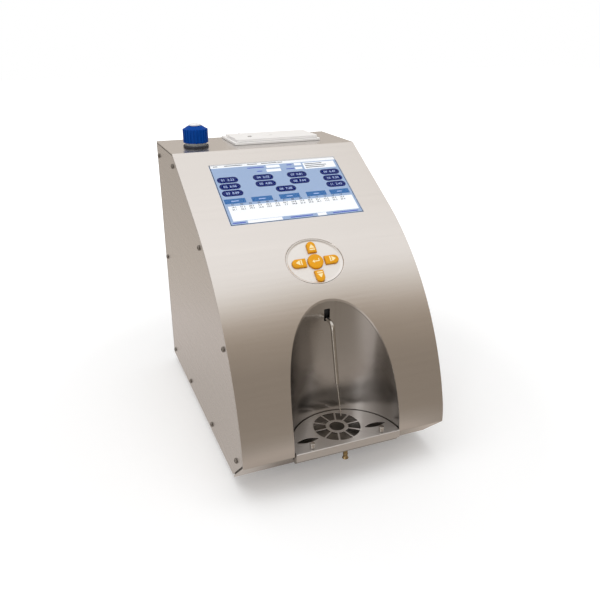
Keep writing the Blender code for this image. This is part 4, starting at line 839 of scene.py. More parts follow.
class Looks:
    """Every finish on the object, made once."""

    def __init__(self) -> None:
        """Makes the materials."""
        grey = (0.68, 0.655, 0.635)
        made = [
            BrushedSteel("cover_steel", grey),
            BrushedSteel("side_steel", shade(grey, 0.95), 0.27, Grain.ALONG, depth=0.03),
            BrushedSteel("rear_steel", shade(grey, 0.96), 0.27, Grain.ACROSS),
            # The bay's liner: the cover's steel made darker, as painted shade for the recess.
            BrushedSteel("bay_steel", shade(grey, 0.68), 0.23, Grain.ACROSS, 2200, 0.03),
            BrushedSteel("tray_steel", (0.70, 0.69, 0.69), 0.40, Grain.ACROSS),
            # The pan under the tray: the cover's steel made darker, as painted shade for where it lies under
            # the tray.
            BrushedSteel("pan_steel", shade(grey, 0.55), 0.30, Grain.ACROSS),
            BrushedSteel("inner_steel", shade(grey, 0.88), 0.36, Grain.ACROSS),
            # Painted shade: a near-black steel for faces deep in gaps and in openings.
            BrushedSteel("inner_dark", (0.11, 0.10, 0.09), 0.45, Grain.ALONG),
            PolishedMetal("bright_steel", (0.56, 0.54, 0.51), (0.38, 0.36, 0.34)),
            PolishedMetal("screw_steel", (0.26, 0.24, 0.22), (0.15, 0.14, 0.13), 0.13),
            PolishedMetal("dull_brass", (0.42, 0.31, 0.16), (0.24, 0.17, 0.09), 0.20),
            PolishedMetal("cast_aluminium", (0.70, 0.70, 0.69), (0.55, 0.55, 0.54), 0.36),
            Moulded("black_rubber", (0.022, 0.022, 0.022), 0.78, 1500, 0.25, 0.15),
            # Painted reflection and shade of the blue cap, for the ring round the bottle's neck.
            Moulded("navy_rubber", (0.024, 0.026, 0.040), 0.50, 1500, 0.15, 0.12),
            Moulded("black_plastic", (0.030, 0.030, 0.032), 0.46, 1800, 0.15, 0.12),
            Moulded("silver_pad", (0.76, 0.74, 0.72), 0.36, 2600, 0.06, 0.03, metallic=0.75),
            Moulded("amber_rubber", srgb(228, 157, 0), 0.40, 1400, 0.10, 0.14, specular=0.30),
            Moulded("cream_print", srgb(250, 234, 180), 0.50, 2600, 0.05, 0.03),
            Moulded("blue_plastic", srgb(0, 66, 150), 0.46, 1600, 0.08, 0.10, specular=0.06),
            Moulded("white_plastic", srgb(244, 242, 240), 0.40, 2400, 0.08, 0.025),
            Moulded("grey_print", srgb(150, 146, 142), 0.55, 2400, 0.05, 0.05),
            Moulded("milky_plastic", (0.62, 0.63, 0.62), 0.30, 900, 0.06, 0.05, clear=0.55),
            Moulded("clear_hose", (0.72, 0.74, 0.72), 0.22, 900, 0.05, 0.05, clear=0.5),
            ClearGlass("touch_glass"),
            Board("green_board"),
            Paper("roll_paper"),
            Lit("screen_ground", srgb(158, 179, 212)),
            Lit("screen_white", srgb(250, 252, 255), 0.97),
            Lit("screen_navy", srgb(18, 34, 104), 0.85),
            Lit("screen_blue", srgb(62, 112, 172), 0.88),
            Lit("screen_pale", srgb(176, 196, 240), 0.92),
            Lit("screen_ink", srgb(60, 66, 84), 0.85),
            Lit("screen_label", srgb(70, 84, 190), 0.85),
            Lit("screen_edge", srgb(38, 44, 58), 0.85),
        ]
        self.made = {finish.name: finish.material() for finish in made}

    def on(self, piece: Object, *names: str) -> Object:
        """Puts finishes on a piece's slots.

        Args:
            piece: The piece.
            names: The finishes, one for each slot.

        Returns:
            The piece.
        """
        slots = piece.data.materials
        for index, name in enumerate(names):
            if index < len(slots):
                slots[index] = self.made[name]
            else:
                slots.append(self.made[name])
        return piece

    def dark(self, piece: Object, finish: str, test: Test) -> None:
        """Puts a finish on a piece, and painted shade (a near-black steel) on the faces that a test picks.

        Args:
            piece: The piece.
            finish: The finish.
            test: The test.
        """
        self.on(piece, finish, "inner_dark")
        with editing(piece, Pick.FACES, test):
            piece.active_material_index = 1
            bpy.ops.object.material_slot_assign()


# The case's own shape


@dataclass(frozen=True)
class CaseShape:
    """The sizes that the case's pieces share, and the places that follow from them."""

    width: float = 0.225
    height: float = 0.296
    depth: float = 0.333
    sheet: float = 0.0015
    setback: float = 0.2375
    slope: float = 0.1122
    slope_angle: float = radians(60.4)
    lower_radius: float = 0.110
    lower_angle: float = radians(14)
    chamfer: float = 0.035
    gap: float = 0.0003
    panel_gap: float = 0.0010
    corner_gap: float = 0.0022
    bend: float = 0.0016
    step: float = radians(1.16)
    bay_radius: float = 0.0590
    bay_floor: float = 0.0242
    window: Pair = (0.1543, 0.0960)
    window_top: float = 0.0240
    keypad_along: float = 0.1765
    oval: Pair = (0.0632, 0.0527)
    oval_shift: Pair = (-0.0009, 0.0014)
    bottle: Pair = (-0.076, 0.275)
    printer_x: float = 0.0248
    bucket: tuple[float, float, float, float] = (0.0515, 0.2660, 0.3260, 0.053)
    origin: Triple = (0.0, -0.16825, 0.010)

    @property
    def half(self) -> float:
        """Half the case's width."""
        return self.width / 2

    @property
    def curve_top(self) -> Vector:
        """Where the slope meets the curve."""
        rise = self.slope * cos(self.slope_angle)
        return Vector((0, self.setback - self.slope * sin(self.slope_angle), self.height - rise))

    @property
    def upper_radius(self) -> float:
        """The radius of the large curve."""
        run = self.curve_top.y - self.lower_radius * (1 - cos(self.lower_angle))
        return run / (cos(self.lower_angle) - cos(self.slope_angle))

    @property
    def upper_centre(self) -> Vector:
        """The centre of the large curve."""
        return self.curve_top + self.upper_radius * Vector((0, cos(self.slope_angle), -sin(self.slope_angle)))

    @property
    def lower_centre(self) -> Vector:
        """The centre of the small curve above the chamfer."""
        reach = self.upper_radius - self.lower_radius
        return self.upper_centre - reach * Vector((0, cos(self.lower_angle), -sin(self.lower_angle)))

    @property
    def chamfer_top(self) -> float:
        """The height of the chamfer's upper edge."""
        return self.lower_centre.z

    @property
    def chamfer_angle(self) -> float:
        """The chamfer's angle from the upright."""
        return atan2(self.chamfer, self.chamfer_top)

    @property
    def place(self) -> Matrix:
        """From the case frame to the frame of the whole part."""
        return Matrix.Translation(self.origin)

    @property
    def slope_place(self) -> Matrix:
        """From the display's frame, whose Y runs up the slope, to the frame of the whole part."""
        corner = Matrix.Translation((0, self.setback, self.height))
        return self.place @ corner @ Matrix.Rotation(pi / 2 - self.slope_angle, 4, "X")

    @property
    def keypad_place(self) -> Matrix:
        """From the keypad's frame to the frame of the whole part."""
        angle = self.slope_angle - (self.keypad_along - self.slope) / self.upper_radius
        centre = self.upper_centre - self.upper_radius * Vector((0, cos(angle), -sin(angle)))
        return self.place @ Matrix.Translation(centre) @ Matrix.Rotation(pi / 2 - angle, 4, "X")

    def chamfer_y(self, inset: float, height: float) -> float:
        """Where the chamfer, set in by a distance, lies at a height."""
        return (inset - (height - self.chamfer_top) * sin(self.chamfer_angle)) / cos(self.chamfer_angle)

    def front(
        self, name: str, x: float, inset: float, foot: float, chamfer_inset: float | None = None
    ) -> Pen:
        """Draws the front outline from the foot of the chamfer to the bend below the top.

        Args:
            name: The name of the piece to come.
            x: Where across the case the outline lies.
            inset: How far it is set in from the outer face.
            foot: The height at which it starts.
            chamfer_inset: How far the chamfer is set in, where that differs.

        Returns:
            The pen, at the end of the bend.
        """
        chamfer_inset = inset if chamfer_inset is None else chamfer_inset
        angle = self.chamfer_angle
        corner = self.chamfer_top + (chamfer_inset - inset * cos(angle)) / sin(angle)
        low, up = self.lower_centre, self.upper_centre
        radius = self.lower_radius - inset
        start = asin(max(0.0, corner - low.z) / radius)
        joint = (x, low.y - radius * cos(start), corner)
        pen = Pen(name, (x, self.chamfer_y(chamfer_inset, foot), foot))
        if inset < self.bend:
            pen.bend(joint, (x, joint[1], corner + 0.01), self.bend - inset + 0.0004)
            pen.line((x, low.y - radius * cos(0.03), low.z + radius * sin(0.03)))
            start = 0.03
        else:
            pen.line(joint)
        pen.arc((x, low.y, low.z), (1, 0, 0), start - self.lower_angle, self.step)
        pen.arc((x, up.y, up.z), (1, 0, 0), self.lower_angle - self.slope_angle, self.step)
        edge = self.setback + inset * (1 - sin(self.slope_angle)) / cos(self.slope_angle)
        top = (x, edge, self.height - inset)
        if inset < self.bend:
            return pen.bend(top, (x, self.depth, self.height - inset), self.bend - inset)
        return pen.line(top)

    def half_round(self, name: str, radius: float, front: float, low: float, high: float) -> Object:
        """A half-round block with a flat front.

        Args:
            name: Its name.
            radius: Its radius about the bay's axis.
            front: How far its flat front stands before that axis, or behind it if negative.
            low: Its lowest level.
            high: Its highest level.

        Returns:
            The block.
        """
        set_back = max(-front, 0.0)
        across = sqrt(radius ** 2 - set_back ** 2)
        pen = Pen(name, (across, -front, low))
        if front > 0:
            pen.line((radius, 0, low))
        pen.arc((0, 0, low), (0, 0, 1), pi - 2 * asin(set_back / radius), radians(2.5))
        if front > 0:
            pen.line((-radius, -front, low))
        return pen.line((across, -front, low)).raised((0, 0, high - low))


# Sub-assemblies


@dataclass
class SubAssembly:
    """Pieces that belong together, with what dressing them needs."""

    frame: dict[str, Any]
    looks: Looks
    shape: CaseShape = field(default_factory=CaseShape)

    def finish(self, piece: Object, node: str, *finishes: str, replaces: Sequence[str] = ()) -> Object:
        """Dresses a piece and makes it ride on the body of a node.

        Args:
            piece: The piece, at its place in the part.
            node: The node on whose body it rides.
            finishes: Its finishes.
            replaces: The nodes that it stands for.

        Returns:
            The piece.
        """
        self.looks.on(piece, *finishes)
        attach(piece, self.frame["nodes"][node]["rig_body"])
        if replaces:
            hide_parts(*replaces)
        return piece

    def stand_for(self, piece: Object, node: str, *finishes: str, place: Matrix | None = None) -> Object:
        """Settles a piece, from the case frame unless a place is given, and lets it stand for a node."""
        place = self.shape.place if place is None else place
        return self.finish(settle(piece, place), node, *finishes, replaces=[node])

    def refined(self, node: str, name: str, width: float, *finishes: str, segments: int = 2) -> Object:
        """A node's own shape with its facets merged and its edges rounded.

        Args:
            node: The node.
            name: The name of the piece that stands for it.
            width: The width of the rounding, or 0 for none.
            finishes: Its finishes.
            segments: The rounding's steps.

        Returns:
            The piece.
        """
        piece = copied(self.frame["nodes"][node], name)
        for key in [key for key in piece.keys() if key.startswith("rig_")]:
            del piece[key]
        piece.parent = None
        with editing(piece, Pick.FACES, everything):
            merge()
            bpy.ops.mesh.dissolve_limited(angle_limit=radians(0.6))
        piece.data.materials.clear()
        if width:
            rounded(piece, width, segments)
        else:
            shaded(piece)
        return self.finish(piece, node, *finishes, replaces=[node])

    def keep(self, finish: str, *nodes: str) -> None:
        """Gives nodes that are shown as they are a finish.

        Args:
            finish: The finish.
            nodes: The nodes.
        """
        for node in nodes:
            self.looks.on(self.frame["nodes"][node], finish)
            LOG.info("%s: kept, in %s", node, finish)


@dataclass
class Case(SubAssembly):
    """The bent cover, the side, rear and base sheets, the screws and the feet."""

    flange: float = 0.020
    window_corner: float = 0.0008
    oval_roll: float = 0.0010
    mouth_play: float = 0.0005
    neck: float = 0.0133
    screw_inset: float = 0.0125
    screw_radius: float = 0.0029
    screw_rise: float = 0.0018
    front_rows: tuple[float, ...] = (0.029, 0.140, 0.219, 0.282)
    rear_rows: tuple[float, ...] = (0.148, 0.280)
    lower_rows: tuple[float, ...] = (0.121, 0.226, 0.3205)
    lower_height: float = 0.0105
    strip: Pair = (0.0045, 0.003)
    foot_insets: Triple = (0.028, 0.075, 0.030)

    def build(self) -> None:
        """Builds and dresses the case."""
        self.build_cover()
        self.build_panels()
        self.build_screws()
        self.build_feet()
        self.refined("rear_panel", "rear_sheet", 0, "rear_steel")
        self.refined("base_plate", "base_sheet", 0, "inner_steel")

    def oval_tool(self) -> Object:
        """A cutter for the keypad's oval, in the frame of the part."""
        take()
        bpy.ops.mesh.primitive_cylinder_add(vertices=144, radius=0.5, depth=2 * OVERRUN)
        tool = named("oval_tool")
        tool.scale = (*self.shape.oval, 1)
        return settle(settle(tool, Matrix.Translation((*self.shape.oval_shift, 0))), self.shape.keypad_place)

    def window_tool(self) -> Object:
        """A cutter for the display's window, in the frame of the part."""
        (wide, tall), high = self.shape.window, -self.shape.window_top
        tool = block("window_tool", (-wide / 2, high - tall, -OVERRUN), (wide / 2, high, OVERRUN))
        return settle(bevelled(tool, Pick.EDGES, upright, self.window_corner), self.shape.slope_place)

    def build_cover(self) -> None:
        """Bends the cover from one sheet and cuts its openings."""
        shape = self.shape
        pen = shape.front("cover_sheet", -shape.half, 0.0, 0.0)
        pen.line((-shape.half, shape.depth, shape.height))
        cover = pen.sheet((shape.width, 0, 0), (0, -0.3, 1), shape.sheet)
        inner = shape.half - 2 * shape.sheet - shape.gap
        rear = shape.depth - shape.sheet - shape.gap
        for side in (-1, 1):
            x = side * (inner + shape.sheet / 2) - shape.sheet / 2
            strip = self.outline_block("flange_tool", x, shape.sheet, shape.sheet / 2, 0.003, rear)
            inside = self.outline_block("inner_tool", x - 0.005, 0.012, self.flange, -0.010, rear + 0.010)
            combine(cover, "UNION", cut(strip, inside))
        half, front, back = (self.mouth_play * way + size for way, size in zip((1, -1, 1), shape.bucket))
        low, high = shape.height - OVERRUN, shape.height + OVERRUN
        cut(
            cover,
            shape.half_round("bay_tool", shape.bay_radius, 0.02, shape.bay_floor, shape.height),
            block("mouth_tool", (shape.printer_x - half, front, low), (shape.printer_x + half, back, high)),
            rod("neck_tool", self.neck, ((*shape.bottle, low), (*shape.bottle, high)), 72),
        )
        settle(cover, shape.place)
        cut(cover, self.window_tool(), self.oval_tool())
        self.roll_oval(cover)
        rounded(cover, 0.00025, 2, radians(40))
        # The flanges' outer sides, deep in the gap beside the side panels, get painted shade.
        self.looks.dark(cover, "cover_steel", self.on_flange)
        self.finish(cover, "front_cover", "cover_steel", "inner_dark", replaces=["front_cover"])

    def on_flange(self, middle: Vector, normal: Vector) -> bool:
        """Whether a face of the cover is a flange's outer side, deep in the gap beside the panel, where shade
        is painted.
        """
        shape = self.shape
        return abs(normal.x) > 0.9 and abs(abs(middle.x) - (shape.half - shape.sheet - shape.gap)) < 1e-4

    def roll_oval(self, cover: Object) -> None:
        """Rolls the outer edge of the keypad's opening in.

        Args:
            cover: The cover, in the frame of the part.
        """
        inverse = self.shape.keypad_place.inverted()
        (across, up), (shift_x, shift_y) = self.shape.oval, self.shape.oval_shift

        def on_rim(middle: Vector, way: Vector) -> bool:
            """Whether an edge lies on the oval and on the outer face."""
            spot, run = inverse @ middle, inverse.to_3x3() @ way
            ring = (2 * (spot.x - shift_x) / across) ** 2 + (2 * (spot.y - shift_y) / up) ** 2
            return abs(ring - 1) < 0.01 and spot.z > -0.00085 - 1.6 * spot.y**2 and abs(run.z) < 0.5

        bevelled(cover, Pick.EDGES, on_rim, self.oval_roll)

    def outline_block(
        self, name: str, x: float, width: float, inset: float, foot: float, rear: float
    ) -> Object:
        """A block with the case's outline, set in from it.

        Args:
            name: Its name.
            x: Its lower side across the case.
            width: Its width.
            inset: How far its front and its top are set in.
            foot: Its underside.
            rear: Its rear side.

        Returns:
            The block.
        """
        shape = self.shape
        pen = shape.front(name, x, inset, foot)
        pen.line((x, rear, shape.height - inset), (x, rear, foot), (x, shape.chamfer_y(inset, foot), foot))
        return pen.raised((width, 0, 0))

    def build_panels(self) -> None:
        """Draws the two side panels with the gap that they keep from the cover."""
        shape = self.shape
        inset, rear = shape.sheet + shape.panel_gap, shape.depth - shape.sheet - shape.panel_gap
        for name, side in SIDES.items():
            x = side * (shape.half - shape.sheet)
            pen = shape.front(f"side_sheet_{name}", x, inset, shape.gap, shape.sheet + shape.corner_gap)
            pen.line((x, rear, shape.height - inset), (x, rear, shape.gap))
            pen.line((x, shape.chamfer_y(shape.sheet + shape.corner_gap, shape.gap), shape.gap))
            panel = pen.raised((side * shape.sheet, 0, 0))
            rounded(panel, 0.00022, 2, radians(40))
            self.stand_for(panel, f"side_panel_{name}", "side_steel")

    def screw_places(self) -> dict[str, list[Pair]]:
        """The places in Y and Z of each row of screws on a side panel."""
        return {
            "front": [(self.front_y(self.screw_inset, height), height) for height in self.front_rows],
            "rear": [(self.shape.depth - self.screw_inset, height) for height in self.rear_rows],
            "lower": [(place, self.lower_height) for place in self.lower_rows],
        }

    def front_y(self, inset: float, height: float) -> float:
        """Where the front outline lies.

        Args:
            inset: How far it is set in.
            height: The height.

        Returns:
            Its place in Y.
        """
        shape = self.shape
        if height < shape.chamfer_top:
            return max(shape.chamfer_y(inset, height), inset)
        for centre, radius, top in (
            (shape.lower_centre, shape.lower_radius, shape.lower_angle),
            (shape.upper_centre, shape.upper_radius, shape.slope_angle),
        ):
            reach = radius - inset
            if height <= centre.z + reach * sin(top):
                return centre.y - reach * cos(asin((height - centre.z) / reach))
        drop = shape.height - height
        return shape.setback - drop * tan(shape.slope_angle) + inset / cos(shape.slope_angle)

    def build_screws(self) -> None:
        """Turns one button-head screw with a hexagon socket, and copies it along both panels."""
        radius, rise, seat = self.screw_radius, self.screw_rise, self.shape.gap
        outline = [
            (0, -0.006), (0.0014, -0.006), (0.0015, -0.0057), (0.0015, seat), (radius, seat),
            (radius, seat + 0.0005), (radius * 0.93, seat + 0.001), (radius * 0.78, seat + 0.00145),
            (radius * 0.58, seat + rise * 0.97), (radius * 0.45, seat + rise), (0, seat + rise),
        ]
        screw = turned("panel_screw", outline, (0, 0, 0), 40)
        take()
        place = (0, 0, seat + rise)
        bpy.ops.mesh.primitive_cylinder_add(vertices=6, radius=0.00115, depth=0.0022, location=place)
        cut(screw, settle(named("socket_tool")))
        rounded(screw, 0.00006, 1)
        for side, sign in SIDES.items():
            turn = Matrix.Rotation(sign * pi / 2, 4, "Y")
            for row, places in self.screw_places().items():
                node = f"screw_row_{side}_{row}"
                self.build_strip(node, sign, f"{side}_{row}", [Vector((0, y, z)) for y, z in places])
                for index, (y, z) in enumerate(places, 1):
                    spot = Matrix.Translation((sign * self.shape.half, y, z)) @ turn
                    copy = copied(screw, f"screw_{side}_{row}_{index}", self.shape.place @ spot)
                    self.finish(copy, node, "screw_steel")
        bpy.data.objects.remove(screw, do_unlink=True)

    def build_strip(self, node: str, sign: int, row: str, places: list[Vector]) -> None:
        """Draws the nut strip behind one row of screws.

        Args:
            node: The node of the row.
            sign: -1 on the left, 1 on the right.
            row: The side and the row, as they are named.
            places: The screws' places.
        """
        shape, (half, thick) = self.shape, self.strip
        outer = sign * (shape.half - 2 * shape.sheet - 2 * shape.gap)
        strips = []
        for first, last in zip(places, places[1:]):
            way = (last - first).normalized() * half
            across = Vector((1, 0, 0)).cross(way)
            corners = [first - way + across, last + way + across, last + way - across, first - way - across]
            corners = [(outer, point.y, point.z) for point in corners]
            pen = Pen(f"nut_strip_{row}", corners[0]).line(*corners[1:], corners[0])
            strips.append(pen.raised((-sign * thick, 0, 0)))
        strip = strips[0]
        combine(strip, "UNION", *strips[1:])
        rounded(strip, 0.0003, 2)
        self.stand_for(strip, node, "bright_steel")

    def build_feet(self) -> None:
        """Turns one rubber foot and copies it to the four corners."""
        outline = [
            (0, -0.010), (0.0030, -0.010), (0.0034, -0.0096), (0.0040, -0.0096), (0.0050, -0.010),
            (0.0084, -0.010), (0.0090, -0.0094), (0.0100, -0.0012), (0.0096, -0.0003), (0.0025, -0.0003),
            (0.0025, 0.0026), (0.0021, 0.0030), (0, 0.0030),
        ]
        foot = turned("foot", outline, (0, 0, 0), 48)
        x, front, rear = self.foot_insets
        x, rows = self.shape.half - x, {"front": front, "rear": self.shape.depth - rear}
        for row, y in rows.items():
            for side, sign in SIDES.items():
                copy = copied(foot, f"rubber_foot_{row}_{side}", Matrix.Translation((sign * x, y, 0)))
                self.stand_for(copy, f"foot_{row}_{side}", "black_rubber")
        bpy.data.objects.remove(foot, do_unlink=True)


@dataclass
class Bay(SubAssembly):
    """The half-round sample bay with its tray, pan, nozzle and sampling tube."""

    wall: float = 0.0012
    tray_top: float = 0.038
    tray_gap: float = 0.0010
    plate: float = 0.0009
    lip_reach: float = 0.003
    lip_height: float = 0.0086
    lip_roll: float = 0.0010
    ring_y: float = 0.0285
    ring: Pair = (0.012, 0.025)
    ring_hole: float = 0.008
    ring_slots: int = 10
    ring_bar: float = 0.0019
    lens: Pair = (0.0246, 0.0072)
    lens_place: Pair = (0.0385, 0.016)
    stud_place: Pair = (0.039, 0.0028)
    stud_hole: float = 0.0018
    slot: Triple = (0.0065, 0.1476, 0.1610)
    pan_front: float = -0.0018
    pan_play: float = 0.0008
    pan_wall: float = 0.001
    drain: float = 0.0026
    drain_inset: float = 0.0035
    nozzle_tip: float = 0.0127
    tube: float = 0.0022
    tube_bend: float = 0.007
    tube_path: tuple[Pair, ...] = ((0.0655, 0.1512), (0.0455, 0.1492), (0.0305, 0.0885), (0.0195, 0.0560))
    holder_face: float = 0.064
    needle: float = 0.0006

    def build(self) -> None:
        """Builds and dresses the bay."""
        self.build_liner()
        self.build_tray()
        self.build_studs()
        self.build_pan()
        self.build_nozzle()
        self.build_tube()
        self.refined("tube_holder", "tube_block", 0.0006, "black_plastic")
        self.refined("tube_pivot_pin", "pivot_pin", 0, "bright_steel")
        self.refined("tube_bracket", "pivot_bracket", 0.0002, "inner_steel")

    def build_liner(self) -> None:
        """Rolls the bay's wall and floor, trims them to the inside of the cover and cuts the tube's slot."""
        shape = self.shape
        radius = shape.bay_radius
        low = shape.bay_floor - self.wall
        liner = shape.half_round("bay_liner", radius + self.wall, 0.0024, low, shape.height)
        inset = shape.sheet + shape.gap
        x, foot = -0.8 * shape.half, shape.sheet
        pen = shape.front("trim_tool", x, inset, foot)
        pen.line((x, shape.setback, foot), (x, shape.chamfer_y(inset, foot), foot))
        trim = pen.raised((-2 * x, 0, 0))
        cut(liner, shape.half_round("hollow_tool", radius, 0.03, shape.bay_floor, shape.height + 0.01))
        combine(liner, "INTERSECT", trim)
        half, low, high = self.slot[0] / 2, self.slot[1], self.slot[2]
        slot = block("slot_tool", (-half, radius - OVERRUN, low), (half, radius + OVERRUN, high))
        bevelled(slot, Pick.EDGES, lambda middle, way: abs(way.y) > 0.9, 0.0008)
        cut(liner, slot)
        rounded(liner, 0.0002, 2, radians(40))
        # The liner's steel is darkened as painted shade for the recess.
        self.stand_for(liner, "recess_liner", "bay_steel")

    def ring_slot(self, index: int) -> Object:
        """One opening of the tray's ring, between two straight bars.

        Args:
            index: Its number round the ring.

        Returns:
            The cutter.
        """
        inner, outer = self.ring
        middle, half = tau * (index + 0.5) / self.ring_slots, pi / self.ring_slots
        near, far = half - asin(self.ring_bar / 2 / inner), half - asin(self.ring_bar / 2 / outer)
        centre = Vector((0, self.ring_y, self.tray_top - OVERRUN))

        def spot(radius: float, turn: float) -> Vector:
            """A point at a radius and an angle from the slot's middle."""
            return centre + Vector((radius * cos(middle + turn), radius * sin(middle + turn), 0))

        pen = Pen(f"slot_tool_{index}", spot(inner, -near)).line(spot(outer, -far))
        pen.arc(centre, (0, 0, 1), 2 * far, radians(3)).line(spot(inner, near))
        pen.arc(centre, (0, 0, 1), -2 * near, radians(5))
        return pen.raised((0, 0, 2 * OVERRUN))

    def lens_tool(self, side: int) -> Object:
        """A cutter for one lens-shaped hole.

        Args:
            side: -1 on the left, 1 on the right.

        Returns:
            The cutter.
        """
        x, y, low = side * self.lens_place[0], self.lens_place[1], self.tray_top - OVERRUN
        half, bulge = self.lens[0] / 2, self.lens[1] / 2
        radius = (half * half + bulge * bulge) / (2 * bulge)
        spread = asin(half / radius)
        pen = Pen(f"lens_tool_{side}", (x + half, y, low))
        pen.arc((x, y + bulge - radius, low), (0, 0, 1), 2 * spread, radians(5))
        pen.arc((x, y - bulge + radius, low), (0, 0, 1), 2 * spread, radians(5))
        return pen.raised((0, 0, 2 * OVERRUN))

    def build_tray(self) -> None:
        """Cuts the perforated tray and folds its lip down."""
        width, top = self.shape.bay_radius - self.tray_gap, self.tray_top
        tray = self.shape.half_round("perforated_tray", width, self.lip_reach, top - self.plate, top)
        front, back = -self.lip_reach, self.shape.sheet - self.lip_reach
        low, high = top - self.lip_height, top - self.plate / 2
        combine(tray, "UNION", block("lip_tool", (-width, front, low), (width, back, high)))
        bevelled(tray, Pick.EDGES, self.on_fold, self.lip_roll)
        tools = [self.ring_slot(index) for index in range(self.ring_slots)]
        low, high = top - OVERRUN, top + OVERRUN
        tools.append(rod("hole_tool", self.ring_hole, ((0, self.ring_y, low), (0, self.ring_y, high))))
        for side in (-1, 1):
            tools.append(self.lens_tool(side))
            x, y = side * self.stud_place[0], self.stud_place[1]
            tools.append(rod("stud_tool", self.stud_hole, ((x, y, low), (x, y, high)), 24))
        cut(tray, join(*tools))
        rounded(tray, 0.00015, 1, radians(40))
        # The walls of the tray's openings get painted shade.
        self.looks.dark(tray, "tray_steel", self.on_cut_edge)
        self.stand_for(tray, "drip_tray", "tray_steel", "inner_dark")

    def on_fold(self, middle: Vector, way: Vector) -> bool:
        """Whether an edge of the tray lies along the fold of its lip."""
        return abs(way.x) > 0.9 and middle.y < 1e-4 - self.lip_reach and middle.z > self.tray_top - 1e-4

    def on_cut_edge(self, middle: Vector, normal: Vector) -> bool:
        """Whether a face of the tray is the wall of an opening, where shade is painted."""
        inside = middle.xy.length < self.shape.bay_radius - 0.003 or middle.y < 0.006
        return abs(normal.z) < 0.3 and inside and middle.y > 0.001

    def build_studs(self) -> None:
        """Turns the two studs that stand on the tray."""
        seat = self.tray_top + self.shape.gap
        outline = [
            (0, -0.006), (0.0013, -0.006), (0.0015, -0.0058), (0.0015, 0), (0.0026, 0), (0.0028, 0.0003),
            (0.0028, 0.0052), (0.0026, 0.0054), (0.0023, 0.0055), (0, 0.0055),
        ]
        for side, sign in SIDES.items():
            stud = turned(f"stud_{side}", outline, (sign * self.stud_place[0], self.stud_place[1], seat), 40)
            self.stand_for(stud, f"tray_stud_{side}", "bright_steel")

    def build_pan(self) -> None:
        """Draws the pan under the tray."""
        shape = self.shape
        low, high = shape.bay_floor + shape.gap, self.tray_top - shape.sheet - shape.gap
        radius, wall, y = shape.bay_radius - self.pan_play, self.pan_wall, self.nozzle_y()
        front = self.pan_front
        pan = shape.half_round("catch_pan", radius, front, low, high)
        hollow = shape.half_round("pan_tool", radius - wall, front - wall, low + wall, high + OVERRUN)
        drain = rod("drain_tool", self.drain, ((0, y, low - OVERRUN), (0, y, low + OVERRUN)), 32)
        cut(pan, hollow, drain)
        rounded(pan, 0.00015, 1, radians(40))
        # The pan's steel is darkened as painted shade under the tray.
        self.stand_for(pan, "drip_pan", "pan_steel")

    def nozzle_y(self) -> float:
        """Where the drain nozzle stands behind the front-most sheet."""
        return self.shape.chamfer * (1 - self.shape.bay_floor / self.shape.chamfer_top) - self.drain_inset

    def build_nozzle(self) -> None:
        """Turns the brass nozzle with its flared tip."""
        seat, tip = self.shape.bay_floor + 2 * self.shape.gap + self.pan_wall, self.nozzle_tip
        outline = [
            (0.0012, seat + 0.0012), (0.0032, seat + 0.0012), (0.0036, seat + 0.0009), (0.0036, seat),
            (0.0023, seat), (0.0023, tip + 0.0062), (0.0026, tip + 0.0058), (0.0026, tip + 0.0050),
            (0.0023, tip + 0.0046), (0.0023, tip + 0.0026), (0.0034, tip + 0.0004), (0.0032, tip),
            (0.0013, tip), (0.0012, tip + 0.0002), (0.0012, seat + 0.0012),
        ]
        nozzle = turned("brass_nozzle", outline, (0, self.nozzle_y(), 0), 40)
        self.stand_for(nozzle, "drain_nozzle", "dull_brass")

    def build_tube(self) -> None:
        """Bends the sampling tube and draws the needle that it carries."""
        start, bend, end, tip = (Vector((0, *place)) for place in self.tube_path)
        run = (bend - start).normalized()
        start = start + run * ((self.holder_face - start.y) / run.y + self.shape.gap)
        first, middle, axis, angle = bend_points(start, bend, end, self.tube_bend)
        tube = self.round_bar("bent_tube", self.tube, start, first)
        with editing(tube, Pick.FACES, lambda spot, normal: normal.dot(run) > 0.9):
            bpy.ops.mesh.spin(steps=14, angle=-angle, center=middle, axis=axis)
            drop = (end - bend).normalized() * ((end - bend).length - (first - bend).length)
            bpy.ops.mesh.extrude_region_move(TRANSFORM_OT_translate={"value": drop})
        rounded(tube, 0.0003, 2, radians(60))
        self.stand_for(tube, "sampling_tube", "bright_steel")
        down = (tip - end).normalized()
        needle = self.round_bar("draw_needle", self.needle, end + down * 2 * self.shape.gap, tip)
        rounded(needle, 0.0002, 2, radians(60))
        self.stand_for(needle, "needle", "bright_steel")

    @staticmethod
    def round_bar(name: str, radius: float, first: Vector, last: Vector) -> Object:
        """A round bar that is drawn out from a disc.

        Args:
            name: Its name.
            radius: Its radius.
            first: The middle of one end.
            last: The middle of the other end.

        Returns:
            The bar.
        """
        take()
        bpy.ops.mesh.primitive_circle_add(vertices=28, radius=radius, fill_type="NGON")
        bar = settle(named(name), Matrix.Translation(first) @ facing(last - first))
        with editing(bar, Pick.FACES, everything):
            bpy.ops.mesh.extrude_region_move(TRANSFORM_OT_translate={"value": last - first})
            bpy.ops.mesh.select_all(action="SELECT")
            bpy.ops.mesh.normals_make_consistent(inside=False)
        return bar


